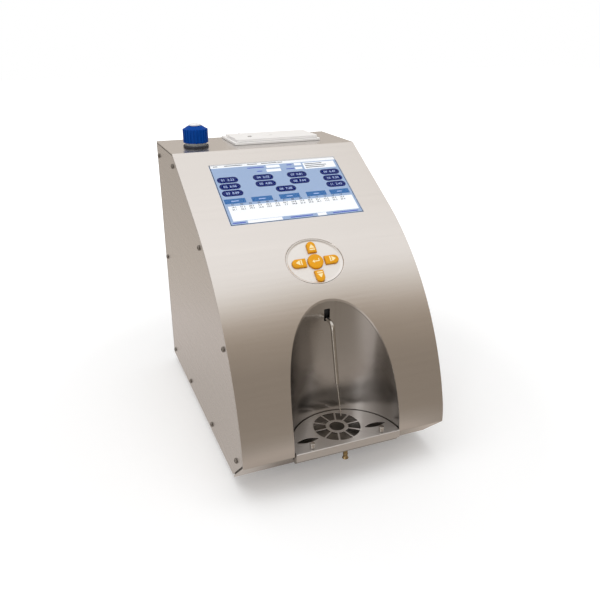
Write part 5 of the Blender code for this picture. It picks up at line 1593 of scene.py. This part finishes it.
@dataclass
class Display(SubAssembly):
    """The touch glass and the lit module behind it, with what the screen shows."""

    glass_margin: float = 0.005
    glass_top: float = -0.0016
    glass: float = 0.0010
    module_top: float = -0.0042
    lcd_top: float = -0.0029
    layer: float = 0.00002
    shift: Pair = (0.0015, 0.0029)
    pill: Pair = (0.0242, 0.0094)
    button: Pair = (0.0240, 0.0074)
    columns: tuple[float, ...] = (-0.0622, -0.0206, 0.0, 0.0204, 0.0618)
    rows: tuple[float, ...] = (0.0263, 0.0370, 0.0478)
    buttons: tuple[float, ...] = (-0.0630, -0.0321, 0.0002, 0.0324, 0.0612)

    def build(self) -> None:
        """Builds and dresses the display."""
        half, high = (size / 2 + self.glass_margin for size in self.shape.window)
        middle, top = -self.shape.window_top - self.shape.window[1] / 2, self.glass_top
        glass = block("touch_panel", (-half, middle - high, top - self.glass), (half, middle + high, top))
        rounded(glass, 0.0003, 2)
        glass.visible_shadow = False
        self.stand_for(glass, "touch_glass", "touch_glass", place=self.shape.slope_place)
        self.refined("lcd_module", "display_module", 0.0004, "screen_edge")
        self.refined("display_bracket", "display_frame", 0, "inner_steel")
        self.keep("green_board", "main_board")
        self.build_screen()

    def spot(self, x: float, down: float, level: float) -> Vector:
        """A place on the screen, from the window's middle and upper edge, above a number of layers."""
        y = self.shift[1] - self.shape.window_top - down
        return Vector((x + self.shift[0], y, self.lcd_top + self.layer * level))

    def patch(self, name: str, x: float, down: float, size: Place, level: int, corner: float = 0.0) -> Object:
        """A thin patch of the screen, with round corners where it has a corner radius.

        Args:
            name: Its name.
            x: Its middle across the window.
            down: Its middle below the window's upper edge.
            size: Its width and height.
            level: How many layers lie under it.
            corner: The radius of its corners.

        Returns:
            The patch, in the display's frame.
        """
        half = Vector((size[0] / 2, size[1] / 2, 0))
        patch = block(name, self.spot(x, down, level) - half, self.spot(x, down, level + 1.5) + half)
        if corner:
            bevelled(patch, Pick.EDGES, upright, corner * 0.999, 6)
        return patch

    def patches(self, name: str, level: int, places: Sequence[Place]) -> list[Object]:
        """A patch for each row of a table of middles, widths and heights, above a number of layers."""
        return [self.patch(name, x, down, (width, height), level) for x, down, width, height in places]

    def words(self, text: str, x: float, down: float, size: float, level: int) -> Object:
        """A few plain figures on the screen.

        Args:
            text: The figures.
            x: Their middle across the window.
            down: Their middle below the window's upper edge.
            size: Their size.
            level: How many layers lie under them.

        Returns:
            The figures as a mesh, in the display's frame.
        """
        take()
        bpy.ops.object.text_add(location=self.spot(x, down, level + 1))
        data = bpy.context.object.data
        data.body, data.size, data.resolution_u = text, size, 3
        data.align_x = data.align_y = "CENTER"
        data.extrude, data.offset = self.layer / 2, 3 * self.layer
        bpy.ops.object.convert(target="MESH")
        figures = settle(bpy.context.object)
        with editing(figures, Pick.FACES, everything):
            merge()
        return figures

    def build_screen(self) -> None:
        """Lays out the screen: ground, bars, fields, readings, buttons and a table of figures."""
        wide, high = self.shape.window
        parts = ("ground", "edge", "white", "navy", "blue", "pale", "ink", "label")
        groups = {f"screen_{part}": [] for part in parts}
        ground = self.patch("ground", 0, high / 2, (wide + 0.003, high + 0.003), 0)
        groups["screen_ground"] += [ground, self.panel()]
        groups["screen_edge"] += self.patches("edge", 5, (
            (0, 0.0003, wide, 0.0008), (0, high - 0.0003, wide, 0.0008),
            (-wide / 2 + 0.0003, high / 2, 0.0008, high), (wide / 2 - 0.0005, high / 2, 0.0012, high),
        ))
        groups["screen_white"] += self.patches("field", 1, (
            (0, 0.0033, wide, 0.0054), (-0.0035, 0.0094, 0.0165, 0.0044), (-0.0045, 0.0160, 0.0175, 0.0044),
            (0.0272, 0.0090, 0.0088, 0.0040), (0.0265, 0.0158, 0.0088, 0.0036),
            (0.0535, 0.0130, 0.0400, 0.0110), (0.0003, 0.0790, 0.1470, 0.0226),
            (-0.0385, 0.0928, 0.0390, 0.0042), (0.0275, 0.0928, 0.0105, 0.0042),
        ))
        groups["screen_ink"] += self.patches("entry", 3, (
            (-0.0705, 0.0034, 0.005, 0.0010), (-0.0535, 0.0034, 0.013, 0.0010),
            (-0.0430, 0.0034, 0.008, 0.0010), (-0.0270, 0.0034, 0.012, 0.0010),
            (-0.0065, 0.0034, 0.019, 0.0010), (0.0070, 0.0034, 0.006, 0.0010),
            (0.0465, 0.0098, 0.022, 0.0011), (0.0490, 0.0128, 0.027, 0.0011), (0.0475, 0.0158, 0.024, 0.0011),
        ))
        groups["screen_label"] += self.patches("label", 3, (
            (-0.0245, 0.0096, 0.020, 0.0013), (-0.0215, 0.0161, 0.006, 0.0013),
            (0.0165, 0.0091, 0.006, 0.0013), (0.0160, 0.0158, 0.010, 0.0013),
            (-0.0675, 0.0930, 0.014, 0.0013), (0.0035, 0.0929, 0.026, 0.0013),
            (0.0560, 0.0930, 0.031, 0.0013),
        ))
        self.lay_readings(groups)
        for index, x in enumerate(self.buttons):
            groups["screen_blue"].append(self.patch("button", x, 0.0602, self.button, 1, 0.0005))
            label = (0.0085 - index * 0.0007, 0.0012)
            groups["screen_pale"].append(self.patch("button_label", x, 0.0602, label, 3))
        for row, down in enumerate((0.0656, 0.0696, 0.0731)):
            for column in range(14):
                figure = (37 * column + 11 * row) % 60 + 3.1 + 0.1 * column
                text = f"{figure:.1f}" if row else f"{column + 1:02d}"
                groups["screen_ink"].append(self.words(text, -0.0668 + column * 0.0098, down, 0.0033, 3))
        self.gather(groups)

    def panel(self) -> Object:
        """The display's panel, which stands on the module and carries the picture."""
        x, y = self.shift[0] / 2, self.shift[1] / 2 - self.shape.window_top
        wide, high = self.shape.window[0] / 2 + 0.0022, self.shape.window[1] + 0.0016
        return block("panel", (x - wide, y - high, self.module_top), (x + wide, y + 0.0016, self.lcd_top))

    def lay_readings(self, groups: dict[str, list[Object]]) -> None:
        """Adds the eleven readings, each a number on a dark pill.

        Args:
            groups: The patches of each finish, which grow.
        """
        left, near, middle, off, right = self.columns
        first, second, third = self.rows
        spots = [(left, first), (left, second), (left, third), (near, first), (near, second), (middle, third)]
        spots += [(off, first), (off, second), (right, first), (right, second), (right, third)]
        for number, (x, down) in enumerate(spots, 1):
            groups["screen_navy"].append(self.patch("pill", x, down, self.pill, 1, self.pill[1] / 2))
            text = f"{number:02d}  {(number * 2.83) % 9.7 + 0.4:.2f}"
            groups["screen_pale"].append(self.words(text, x, down, 0.0046, 3))

    def gather(self, groups: dict[str, list[Object]]) -> None:
        """Joins each finish's patches into one piece of the screen.

        Args:
            groups: The patches of each finish.
        """
        for finish, patches in groups.items():
            name = finish.replace("screen_", "lcd_")
            piece = settle(join(*patches), self.shape.slope_place)
            piece.name = piece.data.name = name
            piece.data.materials.clear()
            self.finish(piece, "lcd_module", finish)


@dataclass
class Keypad(SubAssembly):
    """The oval dish with its five keys and their marks."""

    width: float = 0.0096
    inner: float = 0.0107
    outer_across: float = 0.0260
    outer_up: float = 0.0234
    centre: float = 0.0084
    top: float = 0.0006
    dome: float = 0.0004
    foot: float = -0.0065
    play: float = 0.0003
    flange: Pair = (0.0008, 0.0012)
    mark: Pair = (-0.00006, 0.00014)
    shift: Pair = (-0.0003, 0.0005)
    wall: tuple[Pair, ...] = (
        (0.0004, 0.0), (0.0005, 0.0001), (0.0005, 0.00025), (0.0005, 0.00030), (0.0005, 0.00020),
        (0.0006, 0.00005),
    )

    def build(self) -> None:
        """Builds and dresses the keypad."""
        self.keep("green_board", "keypad_board")
        place = self.shape.keypad_place
        self.stand_for(self.dish(), "keypad_dish", "silver_pad", place=place)
        place = place @ Matrix.Translation((*self.shift, 0))
        for name, reach, turn in self.arms:
            spin = place @ Matrix.Rotation(turn, 4, "Z")
            key = self.arrow_key(f"arrow_key_{name}", reach)
            self.stand_for(key, f"key_{name}", "amber_rubber", place=spin)
            mark = self.arrow_mark(f"arrow_mark_{name}", reach)
            self.finish(settle(mark, spin), f"key_{name}", "cream_print")
        self.stand_for(self.round_key(), "key_enter", "amber_rubber", place=place)
        self.finish(settle(self.return_mark(), place), "key_enter", "cream_print")

    @property
    def arms(self) -> Sequence[tuple[str, float, float]]:
        """The name, the reach and the turn of each arrow key."""
        across, up = self.outer_across, self.outer_up
        return ("right", across, 0.0), ("up", up, pi / 2), ("left", across, pi), ("down", up, -pi / 2)

    def dish(self) -> Object:
        """Presses the oval dish with its soft wall, its flange behind the cover and the keys' holes."""
        take()
        x, y = self.shape.oval_shift
        bpy.ops.mesh.primitive_cylinder_add(vertices=120, radius=0.5, depth=0.0039, location=(x, y, -0.00305))
        dish = named("oval_dish")
        dish.scale = (*(size - 0.0001 for size in self.shape.oval), 1)
        settle(dish)
        with editing(dish, Pick.FACES, facing_up):
            for width, sink in self.wall:
                bpy.ops.mesh.inset(thickness=width, depth=-sink)
        flange = block("flange_tool", (-0.036, -0.031, -0.005), (0.036, 0.031, -0.0035))
        rounded(flange, 0.0004, 2)
        combine(dish, "UNION", flange)
        holes = [rod("hole_tool", self.centre + self.play, ((0, 0, -0.008), (0, 0, 0.002)), 64)]
        for name, reach, turn in self.arms:
            hole = self.key_block("hole_tool", reach, self.play, -0.008, 0.002)
            holes.append(settle(hole, Matrix.Rotation(turn, 4, "Z")))
        tool = settle(join(*holes), Matrix.Translation((*self.shift, 0)))
        return shaded(cut(dish, tool), radians(50))

    def key_block(self, name: str, reach: float, grow: float, low: float, high: float) -> Object:
        """A block with a straight inner end and a round outer end, pointing along X.

        Args:
            name: Its name.
            reach: How far its outer end lies from the middle.
            grow: How much wider it is than the key all round.
            low: Its underside.
            high: Its top.

        Returns:
            The block.
        """
        half, start, end = self.width / 2 + grow, self.inner - grow, reach - self.width / 2
        pen = Pen(name, (start, -half, low)).line((end, -half, low))
        pen.arc((end, 0, low), (0, 0, 1), pi, radians(9)).line((start, half, low), (start, -half, low))
        return pen.raised((0, 0, high - low))

    def dress_top(self, key: Object, flange: Object) -> Object:
        """Rounds a key's upper edge into a low crown and adds its flange under the dish.

        Args:
            key: The raised key.
            flange: The flange, which is used up.

        Returns:
            The key.
        """
        bevelled(key, Pick.FACES, facing_up, 0.0009)
        with editing(key, Pick.FACES, lambda middle, normal: normal.z > 0.999 and middle.z > self.top - 1e-4):
            bpy.ops.mesh.inset(thickness=0.0012, depth=self.dome * 0.75)
            bpy.ops.mesh.inset(thickness=0.0012, depth=self.dome * 0.25)
        return shaded(combine(key, "UNION", flange), radians(50))

    def arrow_key(self, name: str, reach: float) -> Object:
        """A key with a straight inner end and a round outer end, pointing along X."""
        flange = self.key_block("key_flange", reach, self.flange[0], self.foot, self.foot + self.flange[1])
        return self.dress_top(self.key_block(name, reach, 0.0, self.foot + 0.0002, self.top), flange)

    def round_key(self) -> Object:
        """The round key in the middle."""
        grow, thick = self.flange
        key = rod("round_key", self.centre, ((0, 0, self.foot + 0.0002), (0, 0, self.top)), 64)
        ends = (0, 0, self.foot), (0, 0, self.foot + thick)
        return self.dress_top(key, rod("round_flange", self.centre + grow, ends, 64))

    def arrow_mark(self, name: str, reach: float) -> Object:
        """A triangle and a bar on a key, printed a hair above it.

        Args:
            name: Its name.
            reach: How far the key's outer end lies from the middle.

        Returns:
            The mark.
        """
        low, rise, tip = self.top + self.dome + self.mark[0], self.mark[1], reach - 0.0035
        corners = [(tip, 0, low), (tip - 0.0046, 0.0030, low), (tip - 0.0046, -0.0030, low)]
        triangle = Pen(name, corners[0]).line(corners[1], corners[2], corners[0]).raised((0, 0, rise))
        bar = block("bar", (tip - 0.0070, -0.0030, low), (tip - 0.0057, 0.0030, low + rise))
        return shaded(join(bar, triangle), radians(30))

    def return_mark(self) -> Object:
        """A plain bent arrow on the middle key."""
        low, rise = self.top + self.dome + self.mark[0], self.mark[1]
        head = [(-0.0042, -0.0004, low), (-0.0018, 0.0016, low), (-0.0018, -0.0024, low)]
        arrow = Pen("return_mark", head[0]).line(head[1], head[2], head[0]).raised((0, 0, rise))
        stem = block("stem", (-0.0019, -0.0009, low), (0.0040, 0.0001, low + rise))
        post = block("post", (0.0030, -0.0002, low), (0.0040, 0.0026, low + rise))
        return shaded(join(stem, post, arrow), radians(30))


@dataclass
class Bottle(SubAssembly):
    """The cleaning bottle in its well, with the ribbed cap and its disc."""

    radius: float = 0.0127
    wall: float = 0.0012
    depth: float = 0.078
    threads: Pair = (0.0088, 0.0128)
    thread: float = 0.0002
    cap_base: float = 0.0054
    cap_height: float = 0.0188
    cap_radius: float = 0.0147
    rib: float = 0.0008
    shoulder: float = 0.0034
    cap_top: float = 0.0086
    ribs: int = 24
    skirt: float = 0.0008
    lid: float = 0.003
    peg_hole: float = 0.0043
    peg_depth: float = 0.0023

    def at(self, height: float) -> Triple:
        """A place on the bottle's axis."""
        return (*self.shape.bottle, height)

    def build(self) -> None:
        """Builds and dresses the bottle."""
        self.build_bottle()
        self.build_cap()
        self.build_disc()
        self.refined("bottle_well", "well_sleeve", 0.0002, "black_plastic")
        # A dark navy ring round the neck on the top plate: painted reflection and shade of the cap.
        shade_ring = [
            (0.0135, 0), (0.0150, 0), (0.0150, 0.0014), (0.0146, 0.0019), (0.0138, 0.0020), (0.0135, 0.0018),
            (0.0135, 0),
        ]
        piece = turned("well_collar", shade_ring, self.at(self.shape.height + self.shape.gap), 72)
        self.finish(settle(piece, self.shape.place), "bottle_well", "navy_rubber")

    def build_bottle(self) -> None:
        """Blows the bottle, with two turns of thread under its mouth."""
        height, radius, wall = self.shape.height, self.radius, self.wall
        top = height + self.cap_base + self.cap_height - 0.0033
        low, inner = height - self.depth, radius - wall
        outline = [(0, low), (radius - 0.0015, low), (radius - 0.0004, low + 0.0004), (radius, low + 0.0015)]
        for start in (height + place for place in self.threads):
            crest = radius + self.thread
            outline += [(radius, start), (crest, start + 0.0005), (crest, start + 0.0009)]
            outline.append((radius, start + 0.0014))
        outline += [(radius, top - 0.0003), (radius - 0.0003, top), (inner + 0.0002, top)]
        outline.append((inner, top - 0.0002))
        outline += [(inner, low + wall + 0.001), (inner - 0.001, low + wall), (0, low + wall)]
        self.stand_for(turned("blown_bottle", outline, self.at(0), 72), "bottle", "milky_plastic")

    def build_cap(self) -> None:
        """Moulds the cap: a ribbed skirt, a sloping shoulder and a hollow with a thread."""
        base, small = self.shape.height + self.cap_base, self.cap_radius - self.rib
        top = base + self.cap_height
        cap = rod("ribbed_cap", small, (self.at(base), self.at(top - self.shoulder)), 4 * self.ribs)
        with editing(cap, Pick.FACES, facing_up):
            bpy.ops.mesh.extrude_region_move(TRANSFORM_OT_translate={"value": (0, 0, self.shoulder)})
            share = self.cap_top / small
            bpy.ops.transform.resize(value=(share, share, 1), center_override=self.at(top))
        with editing(cap, Pick.FACES, self.on_rib):
            bpy.ops.mesh.extrude_region_shrink_fatten(TRANSFORM_OT_shrink_fatten={"value": self.rib})
        rounded(cap, 0.00028, 2, radians(25))
        bore, low, high = small - self.skirt, base - OVERRUN, top - self.lid
        hollow = turned("hollow_tool", [(0, low), (bore, low), (bore, high), (0, high)], self.at(0), 72)
        peg = rod("peg_tool", self.peg_hole, (self.at(top - self.peg_depth), self.at(top + OVERRUN)))
        shaded(cut(cap, hollow, peg))
        self.stand_for(cap, "bottle_cap", "blue_plastic")

    def on_rib(self, middle: Vector, normal: Vector) -> bool:
        """Whether a face of the skirt belongs to a rib."""
        spot = middle - Vector(self.at(0))
        turn = atan2(spot.y, spot.x) % tau
        return abs(normal.z) < 0.1 and int(turn / tau * 4 * self.ribs) % 4 < 2

    def build_disc(self) -> None:
        """Turns the white disc that is pegged into the cap."""
        seat = self.shape.height + self.cap_base + self.cap_height + self.shape.gap
        outline = [
            (0, -0.002), (0.0039, -0.002), (0.0040, -0.0019), (0.0040, 0), (0.0066, 0), (0.0069, 0.0003),
            (0.0069, 0.0013), (0.0066, 0.0018), (0.0061, 0.0020), (0, 0.0020),
        ]
        self.stand_for(turned("white_disc", outline, self.at(seat), 56), "cap_disc", "white_plastic")


@dataclass
class Printer(SubAssembly):
    """The printer in the top: its body, lid, button and paper."""

    width: float = 0.111
    depth: float = 0.065
    front: float = 0.2635
    flange: float = 0.0026
    lid: float = 0.0034
    lid_inset: float = 0.0030
    lid_corner: float = 0.0022
    lid_slope: float = 0.0050
    play: float = 0.0004
    wall: float = 0.002
    pin: float = 0.0011
    shaft: float = 0.0019
    barrel: float = 0.0038
    barrel_y: float = 0.3198
    barrel_z: float = 0.2965
    platen: Pair = (0.2770, 0.2915)
    button: Pair = (-0.0064, 0.2835)

    @property
    def x(self) -> float:
        """The printer's middle across the case."""
        return self.shape.printer_x

    def across(self, name: str, radius: float, reach: float, y: float, z: float, sides: int = 24) -> Object:
        """A round bar across the printer's middle, at a place in Y and Z."""
        return rod(name, radius, ((self.x - reach, y, z), (self.x + reach, y, z)), sides)

    def build(self) -> None:
        """Builds and dresses the printer."""
        self.build_body()
        self.build_lid()
        self.build_marks()
        self.build_button()
        self.refined("paper_roll", "paper_coil", 0.0002, "roll_paper")
        self.refined("print_head", "thermal_head", 0.0004, "cast_aluminium")
        self.refined("platen_roller", "rubber_platen", 0.0002, "black_rubber")
        self.refined("lid_hinge_pin", "hinge_pin", 0, "bright_steel")

    def plate(self, name: str, half: float, ends: Place, levels: Place) -> Object:
        """A block about the printer's middle, from one end and one level to the other."""
        return block(name, (self.x - half, ends[0], levels[0]), (self.x + half, ends[1], levels[1]))

    def build_body(self) -> None:
        """Moulds the printer's flange with the bucket under it."""
        half, front, rear, deep = self.shape.bucket
        low, seat = self.shape.height - deep, self.shape.height + self.shape.gap
        top, inner, over = seat + self.flange, half - self.wall, self.shape.height + 0.01
        body = self.plate("printer_shell", self.width / 2, (self.front, self.front + self.depth), (seat, top))
        bevelled(body, Pick.EDGES, upright, 0.0025, 6)
        bevelled(body, Pick.EDGES, lambda middle, way: abs(way.z) < 0.1 and middle.z > top - 1e-5, 0.0006, 3)
        combine(body, "UNION", self.plate("bucket_tool", half, (front, rear), (low, seat + 0.001)))
        cut(
            body,
            self.plate("hollow_tool", inner, (front + self.wall, rear - self.wall), (low + self.wall, over)),
            self.across("pin_tool", self.pin, inner + 0.00075, self.barrel_y, self.barrel_z),
            self.plate("recess_tool", inner, (rear - 0.008, rear + 0.0012), (seat + 0.0005, over)),
        )
        shaded(body, radians(30))
        self.stand_for(body, "printer_body", "white_plastic")

    def lid_levels(self) -> Pair:
        """The lid's underside and top."""
        low = self.shape.height + 2 * self.shape.gap + self.flange
        return low, low + self.lid

    def build_lid(self) -> None:
        """Moulds the lid with its hinge barrel and the ears that carry the platen."""
        low, top = self.lid_levels()
        half, front = self.width / 2 - self.lid_inset, self.front + self.lid_inset
        x, y, z, corner = self.x, self.barrel_y, self.barrel_z, self.lid_corner
        notch, inner = y - self.lid_slope, self.shape.bucket[0] - self.wall - self.play
        pen = Pen("printer_flap", (x + half - corner, front, low))
        pen.arc((x + half - corner, front + corner, low), (0, 0, 1), pi / 2, radians(12))
        pen.line((x + half, notch, low), (x + inner, notch, low), (x + inner, y, low))
        pen.line((x - inner, y, low), (x - inner, notch, low), (x - half, notch, low))
        pen.line((x - half, front + corner, low))
        pen.arc((x - half + corner, front + corner, low), (0, 0, 1), pi / 2, radians(12))
        lid = pen.line((x + half - corner, front, low)).raised((0, 0, self.lid))
        with editing(lid, Pick.EDGES, lambda middle, way: middle.z > top - 1e-5 and middle.y > y - 1e-5):
            bpy.ops.transform.translate(value=(0, notch - y, 0))
            merge()
        bevelled(lid, Pick.EDGES, lambda middle, way: middle.z > top - 1e-5, 0.0009)
        barrel = self.across("barrel_tool", self.barrel, inner, y, z, 56)
        combine(lid, "UNION", barrel, self.ear(-1), self.ear(1))
        cut(
            lid,
            self.across("bore_tool", self.pin, 0.06, y, z),
            self.across("shaft_tool", self.shaft, 0.04, *self.platen),
            self.oblong("button_tool", 0.0017, low - OVERRUN, top + OVERRUN),
        )
        shaded(lid, radians(30))
        self.stand_for(lid, "printer_lid", "white_plastic")

    def ear(self, side: int) -> Object:
        """One of the lid's two ears, with its lower edges rounded.

        Args:
            side: -1 on the left, 1 on the right.

        Returns:
            The ear.
        """
        (y, z), half, x = self.platen, 0.0035, self.x + side * 0.0318
        top = self.lid_levels()[0] + 0.0008
        ear = block("ear_tool", (x - 0.0015, y - half, z - half), (x + 0.0015, y + half, top))
        return bevelled(ear, Pick.EDGES, lambda middle, way: abs(way.x) > 0.9 and middle.z < z, 0.0028, 5)

    def build_button(self) -> None:
        """Moulds the oblong feed button with its flange under the lid."""
        low, top = self.lid_levels()
        button = self.oblong("feed_key", 0.0015, low - 0.0003, top + 0.0006)
        bevelled(button, Pick.FACES, facing_up, 0.0004, 3)
        flange = self.oblong("key_flange", 0.0023, low - 0.0013, low - 0.0002)
        self.stand_for(shaded(combine(button, "UNION", flange), radians(50)), "feed_button", "grey_print")

    def oblong(self, name: str, radius: float, low: float, high: float) -> Object:
        """An upright block with round ends at the feed button's place.

        Args:
            name: Its name.
            radius: The radius of its ends.
            low: Its lowest level.
            high: Its highest level.

        Returns:
            The block.
        """
        (x, y), half = self.button, 0.0011
        pen = Pen(name, (x + half, y - radius, low))
        pen.arc((x + half, y, low), (0, 0, 1), pi, radians(12)).line((x - half, y + radius, low))
        pen.arc((x - half, y, low), (0, 0, 1), pi, radians(12)).line((x + half, y - radius, low))
        return pen.raised((0, 0, high - low))

    def build_marks(self) -> None:
        """Adds the small lamp at the rear of the lid and the short mark at its front."""
        top = self.lid_levels()[1]
        lamp = [
            (0, -0.0004), (0.0009, -0.0004), (0.0009, 0.0001), (0.0007, 0.0003), (0.0004, 0.0004),
            (0, 0.00042),
        ]
        piece = turned("lid_lamp", lamp, (-0.0117, 0.3115, top), 32)
        self.finish(settle(piece, self.shape.place), "printer_lid", "grey_print")
        mark = block("lid_mark", (0.0202, 0.2866, top - 0.0002), (0.0238, 0.2874, top + 0.00008))
        bevelled(mark, Pick.EDGES, upright, 0.0003, 6)
        self.finish(settle(mark, self.shape.place), "printer_lid", "grey_print")


@dataclass
class Rear(SubAssembly):
    """The power inlet with its switch, and the two sockets in the rear sheet."""

    def build(self) -> None:
        """Builds and dresses the rear connections."""
        self.refined("power_inlet", "mains_inlet", 0.0003, "black_plastic")
        self.refined("power_switch", "rocker", 0.0004, "black_plastic", segments=3)
        self.refined("serial_port", "serial_socket", 0.00015, "cast_aluminium")
        self.refined("data_port", "data_socket", 0.00015, "cast_aluminium")


@dataclass
class Inside(SubAssembly):
    """What the case hides: the sensor, the pump, the supply and the hoses."""

    def build(self) -> None:
        """Builds and dresses the inner pieces."""
        for node, name, width, finish in (
            ("ultrasonic_sensor", "sensor_block", 0.0006, "cast_aluminium"),
            ("power_supply", "supply_box", 0.0008, "cast_aluminium"),
            ("pump_head", "pump_housing", 0.0006, "black_plastic"),
            ("pump_port", "pump_spout", 0.0003, "white_plastic"),
            ("pump_rotor", "rotor", 0.0003, "white_plastic"),
            ("pump_motor", "motor", 0.0005, "inner_steel"),
            ("sample_hose", "hose_to_sensor", 0, "clear_hose"),
            ("pump_hose", "hose_to_pump", 0, "clear_hose"),
        ):
            self.refined(node, name, width, finish)


# The studio


@dataclass
class Studio:
    """The floor, the lamps, the surroundings that the steel mirrors, and the camera."""

    place: Triple = (-0.24837, -0.65261, 0.43440)
    tilt: Pair = (66.98, -21.91)
    lens: float = 38.24
    ambient: float = 0.60
    lamp_power: float = 22.0
    floor_fade: Pair = (0.30, 1.10)
    floor_glow: Pair = (0.16, 0.75)
    low: float = -90.0
    glow: float = 1.25
    front_tones: tuple[tuple[float, Triple], ...] = (
        (-90, (0.05, 0.045, 0.04)), (-50, (0.12, 0.10, 0.09)), (-42, (0.34, 0.30, 0.26)),
        (-29, (0.54, 0.47, 0.41)), (-24, (0.42, 0.37, 0.32)), (-10, (0.33, 0.28, 0.23)),
        (20, (0.32, 0.27, 0.22)), (38, (0.43, 0.36, 0.29)), (45, (0.58, 0.50, 0.42)),
        (52, (0.84, 0.78, 0.71)), (61, (1.12, 1.09, 1.06)), (90, (1.19, 1.16, 1.14)),
    )
    back_tones: tuple[tuple[float, Triple], ...] = (
        (-90, (0.50, 0.45, 0.41)), (-60, (0.53, 0.48, 0.44)), (-42, (0.57, 0.52, 0.48)),
        (-24, (0.68, 0.62, 0.58)), (-14, (0.62, 0.56, 0.50)), (0, (0.48, 0.43, 0.38)),
        (20, (0.70, 0.64, 0.58)), (45, (0.92, 0.87, 0.82)), (66, (1.12, 1.09, 1.06)),
        (90, (1.18, 1.15, 1.13)),
    )

    def build(self) -> None:
        """Sets the scene."""
        self.build_world()
        self.build_floor()
        self.build_surround()
        self.build_lamps()
        self.build_camera()

    def build_world(self) -> None:
        """A white world to look at, and an even soft light from it."""
        world = bpy.context.scene.world = bpy.data.worlds.new("studio")
        graph = Graph("studio", world)
        graph.dress({"Color": (1, 1, 1), "Strength": self.ambient + (1 - self.ambient) * graph.seen()})

    def build_floor(self) -> None:
        """A plain pale floor that is white where no shadow falls."""
        take()
        bpy.ops.mesh.primitive_plane_add(size=12)
        floor, graph = named("floor"), Graph("pale_floor")
        reach = graph.add("ShaderNodeVectorMath", {"operation": "LENGTH"}, {0: graph.place}, "Value")
        (near, far), (weak, strong) = self.floor_fade, self.floor_glow
        glow = weak + (strong - weak) * graph.share(reach, near, far)
        floor.data.materials.append(graph.dress({
            "Base Color": (0.90, 0.90, 0.90),
            "Roughness": 0.9,
            "Specular IOR Level": 0.0,
            "Emission Color": (1, 1, 1),
            "Emission Strength": glow * graph.seen(),
        }))

    def tones(self, graph: Graph, stops: Sequence[tuple[float, Place]], height: Signal) -> Signal:
        """The colour at a height angle, from a table of angles and colours.

        Args:
            graph: The surroundings' graph.
            stops: The table.
            height: The angle above the horizon.

        Returns:
            The colour, to be made brighter by the glow.
        """
        places = [((angle - self.low) / (90 - self.low), shade(tone, 1 / self.glow)) for angle, tone in stops]
        share = graph.share(height, radians(self.low), radians(90))
        return graph.add("ShaderNodeValToRGB", {"stops": places}, {"Fac": share})

    def build_surround(self) -> None:
        """A dome of warm grey cards that is seen in reflections alone and brightens overhead."""
        bowl = [(0, 0.0008), (0.5, 0.001), (1.2, 0.004), (1.8, 0.02), (2.4, 0.10)]
        dome = turned("surround", bowl, (0, 0, 0), 64)
        take()
        bpy.ops.mesh.primitive_uv_sphere_add(segments=48, ring_count=24, radius=2.4, location=(0, 0, 0.1))
        sky = settle(named("sky"))
        with editing(sky, Pick.FACES, lambda middle, normal: middle.z < 0.1):
            bpy.ops.mesh.delete(type="FACE")
        dome, graph = join(sky, dome), Graph("surround_cards")
        middle = (0, 0, 0.15)
        offset = graph.add("ShaderNodeVectorMath", {"operation": "SUBTRACT"}, {0: graph.place, 1: middle})
        way = graph.add("ShaderNodeVectorMath", {"operation": "NORMALIZE"}, {0: offset})
        across, along, up = (graph.add("ShaderNodeSeparateXYZ", {}, {0: way}, axis) for axis in "XYZ")
        turn = graph.add("ShaderNodeMath", {"operation": "ARCSINE"}, {0: up})
        front = self.tones(graph, self.front_tones, turn + (across - 0.38).larger(0.0))
        back = self.tones(graph, self.back_tones, turn)
        behind = graph.share(along, -0.25, 0.35).larger(graph.share(across, -0.30, -0.50))
        light = {"Color": graph.mixed(behind, front, back), "Strength": self.glow}
        emission = graph.add("ShaderNodeEmission", {}, light)
        graph.tree.nodes.remove(graph.shader)
        graph.fill(graph.tree.nodes["Material Output"], {"Surface": emission})
        dome.data.materials.append(graph.material)
        dome.visible_camera = dome.visible_diffuse = dome.visible_shadow = False
        dome.visible_transmission = dome.visible_volume_scatter = False

    def build_lamps(self) -> None:
        """A large soft lamp overhead and a weaker one from the front left."""
        target = Vector((0, 0, 0.12))
        for name, place, size, power in (
            ("top_lamp", (-0.3, -0.2, 2.2), (2.2, 2.2), self.lamp_power),
            ("front_lamp", (-1.5, -1.7, 0.62), (0.35, 1.2), self.lamp_power * 0.28),
        ):
            lamp = bpy.data.lights.new(name, "AREA")
            lamp.shape = "RECTANGLE"
            lamp.size, lamp.size_y = size
            lamp.energy = power
            holder = bpy.data.objects.new(name, lamp)
            holder.location = place
            holder.visible_glossy = name == "front_lamp"
            holder.rotation_euler = (target - Vector(place)).to_track_quat("-Z", "Y").to_euler()
            bpy.context.scene.collection.objects.link(holder)

    def build_camera(self) -> None:
        """The camera at the photograph's angle."""
        data = bpy.data.cameras.new("camera")
        data.lens = self.lens
        data.sensor_width = 36
        camera = bpy.data.objects.new("camera", data)
        camera.location = self.place
        camera.rotation_euler = (radians(self.tilt[0]), 0, radians(self.tilt[1]))
        bpy.context.scene.collection.objects.link(camera)
        bpy.context.scene.camera = camera
        bpy.context.scene.view_settings.view_transform = "Standard"


def main() -> None:
    """Builds every sub-assembly round the frame."""
    logging.basicConfig(level=logging.INFO, format="%(name)s: %(message)s")
    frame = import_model()
    looks = Looks()
    for kind in (Case, Bay, Display, Keypad, Bottle, Printer, Rear, Inside):
        kind(frame, looks).build()
        LOG.info("%s is ready", kind.__name__)
    Studio().build()


if __name__ == "__main__":
    main()
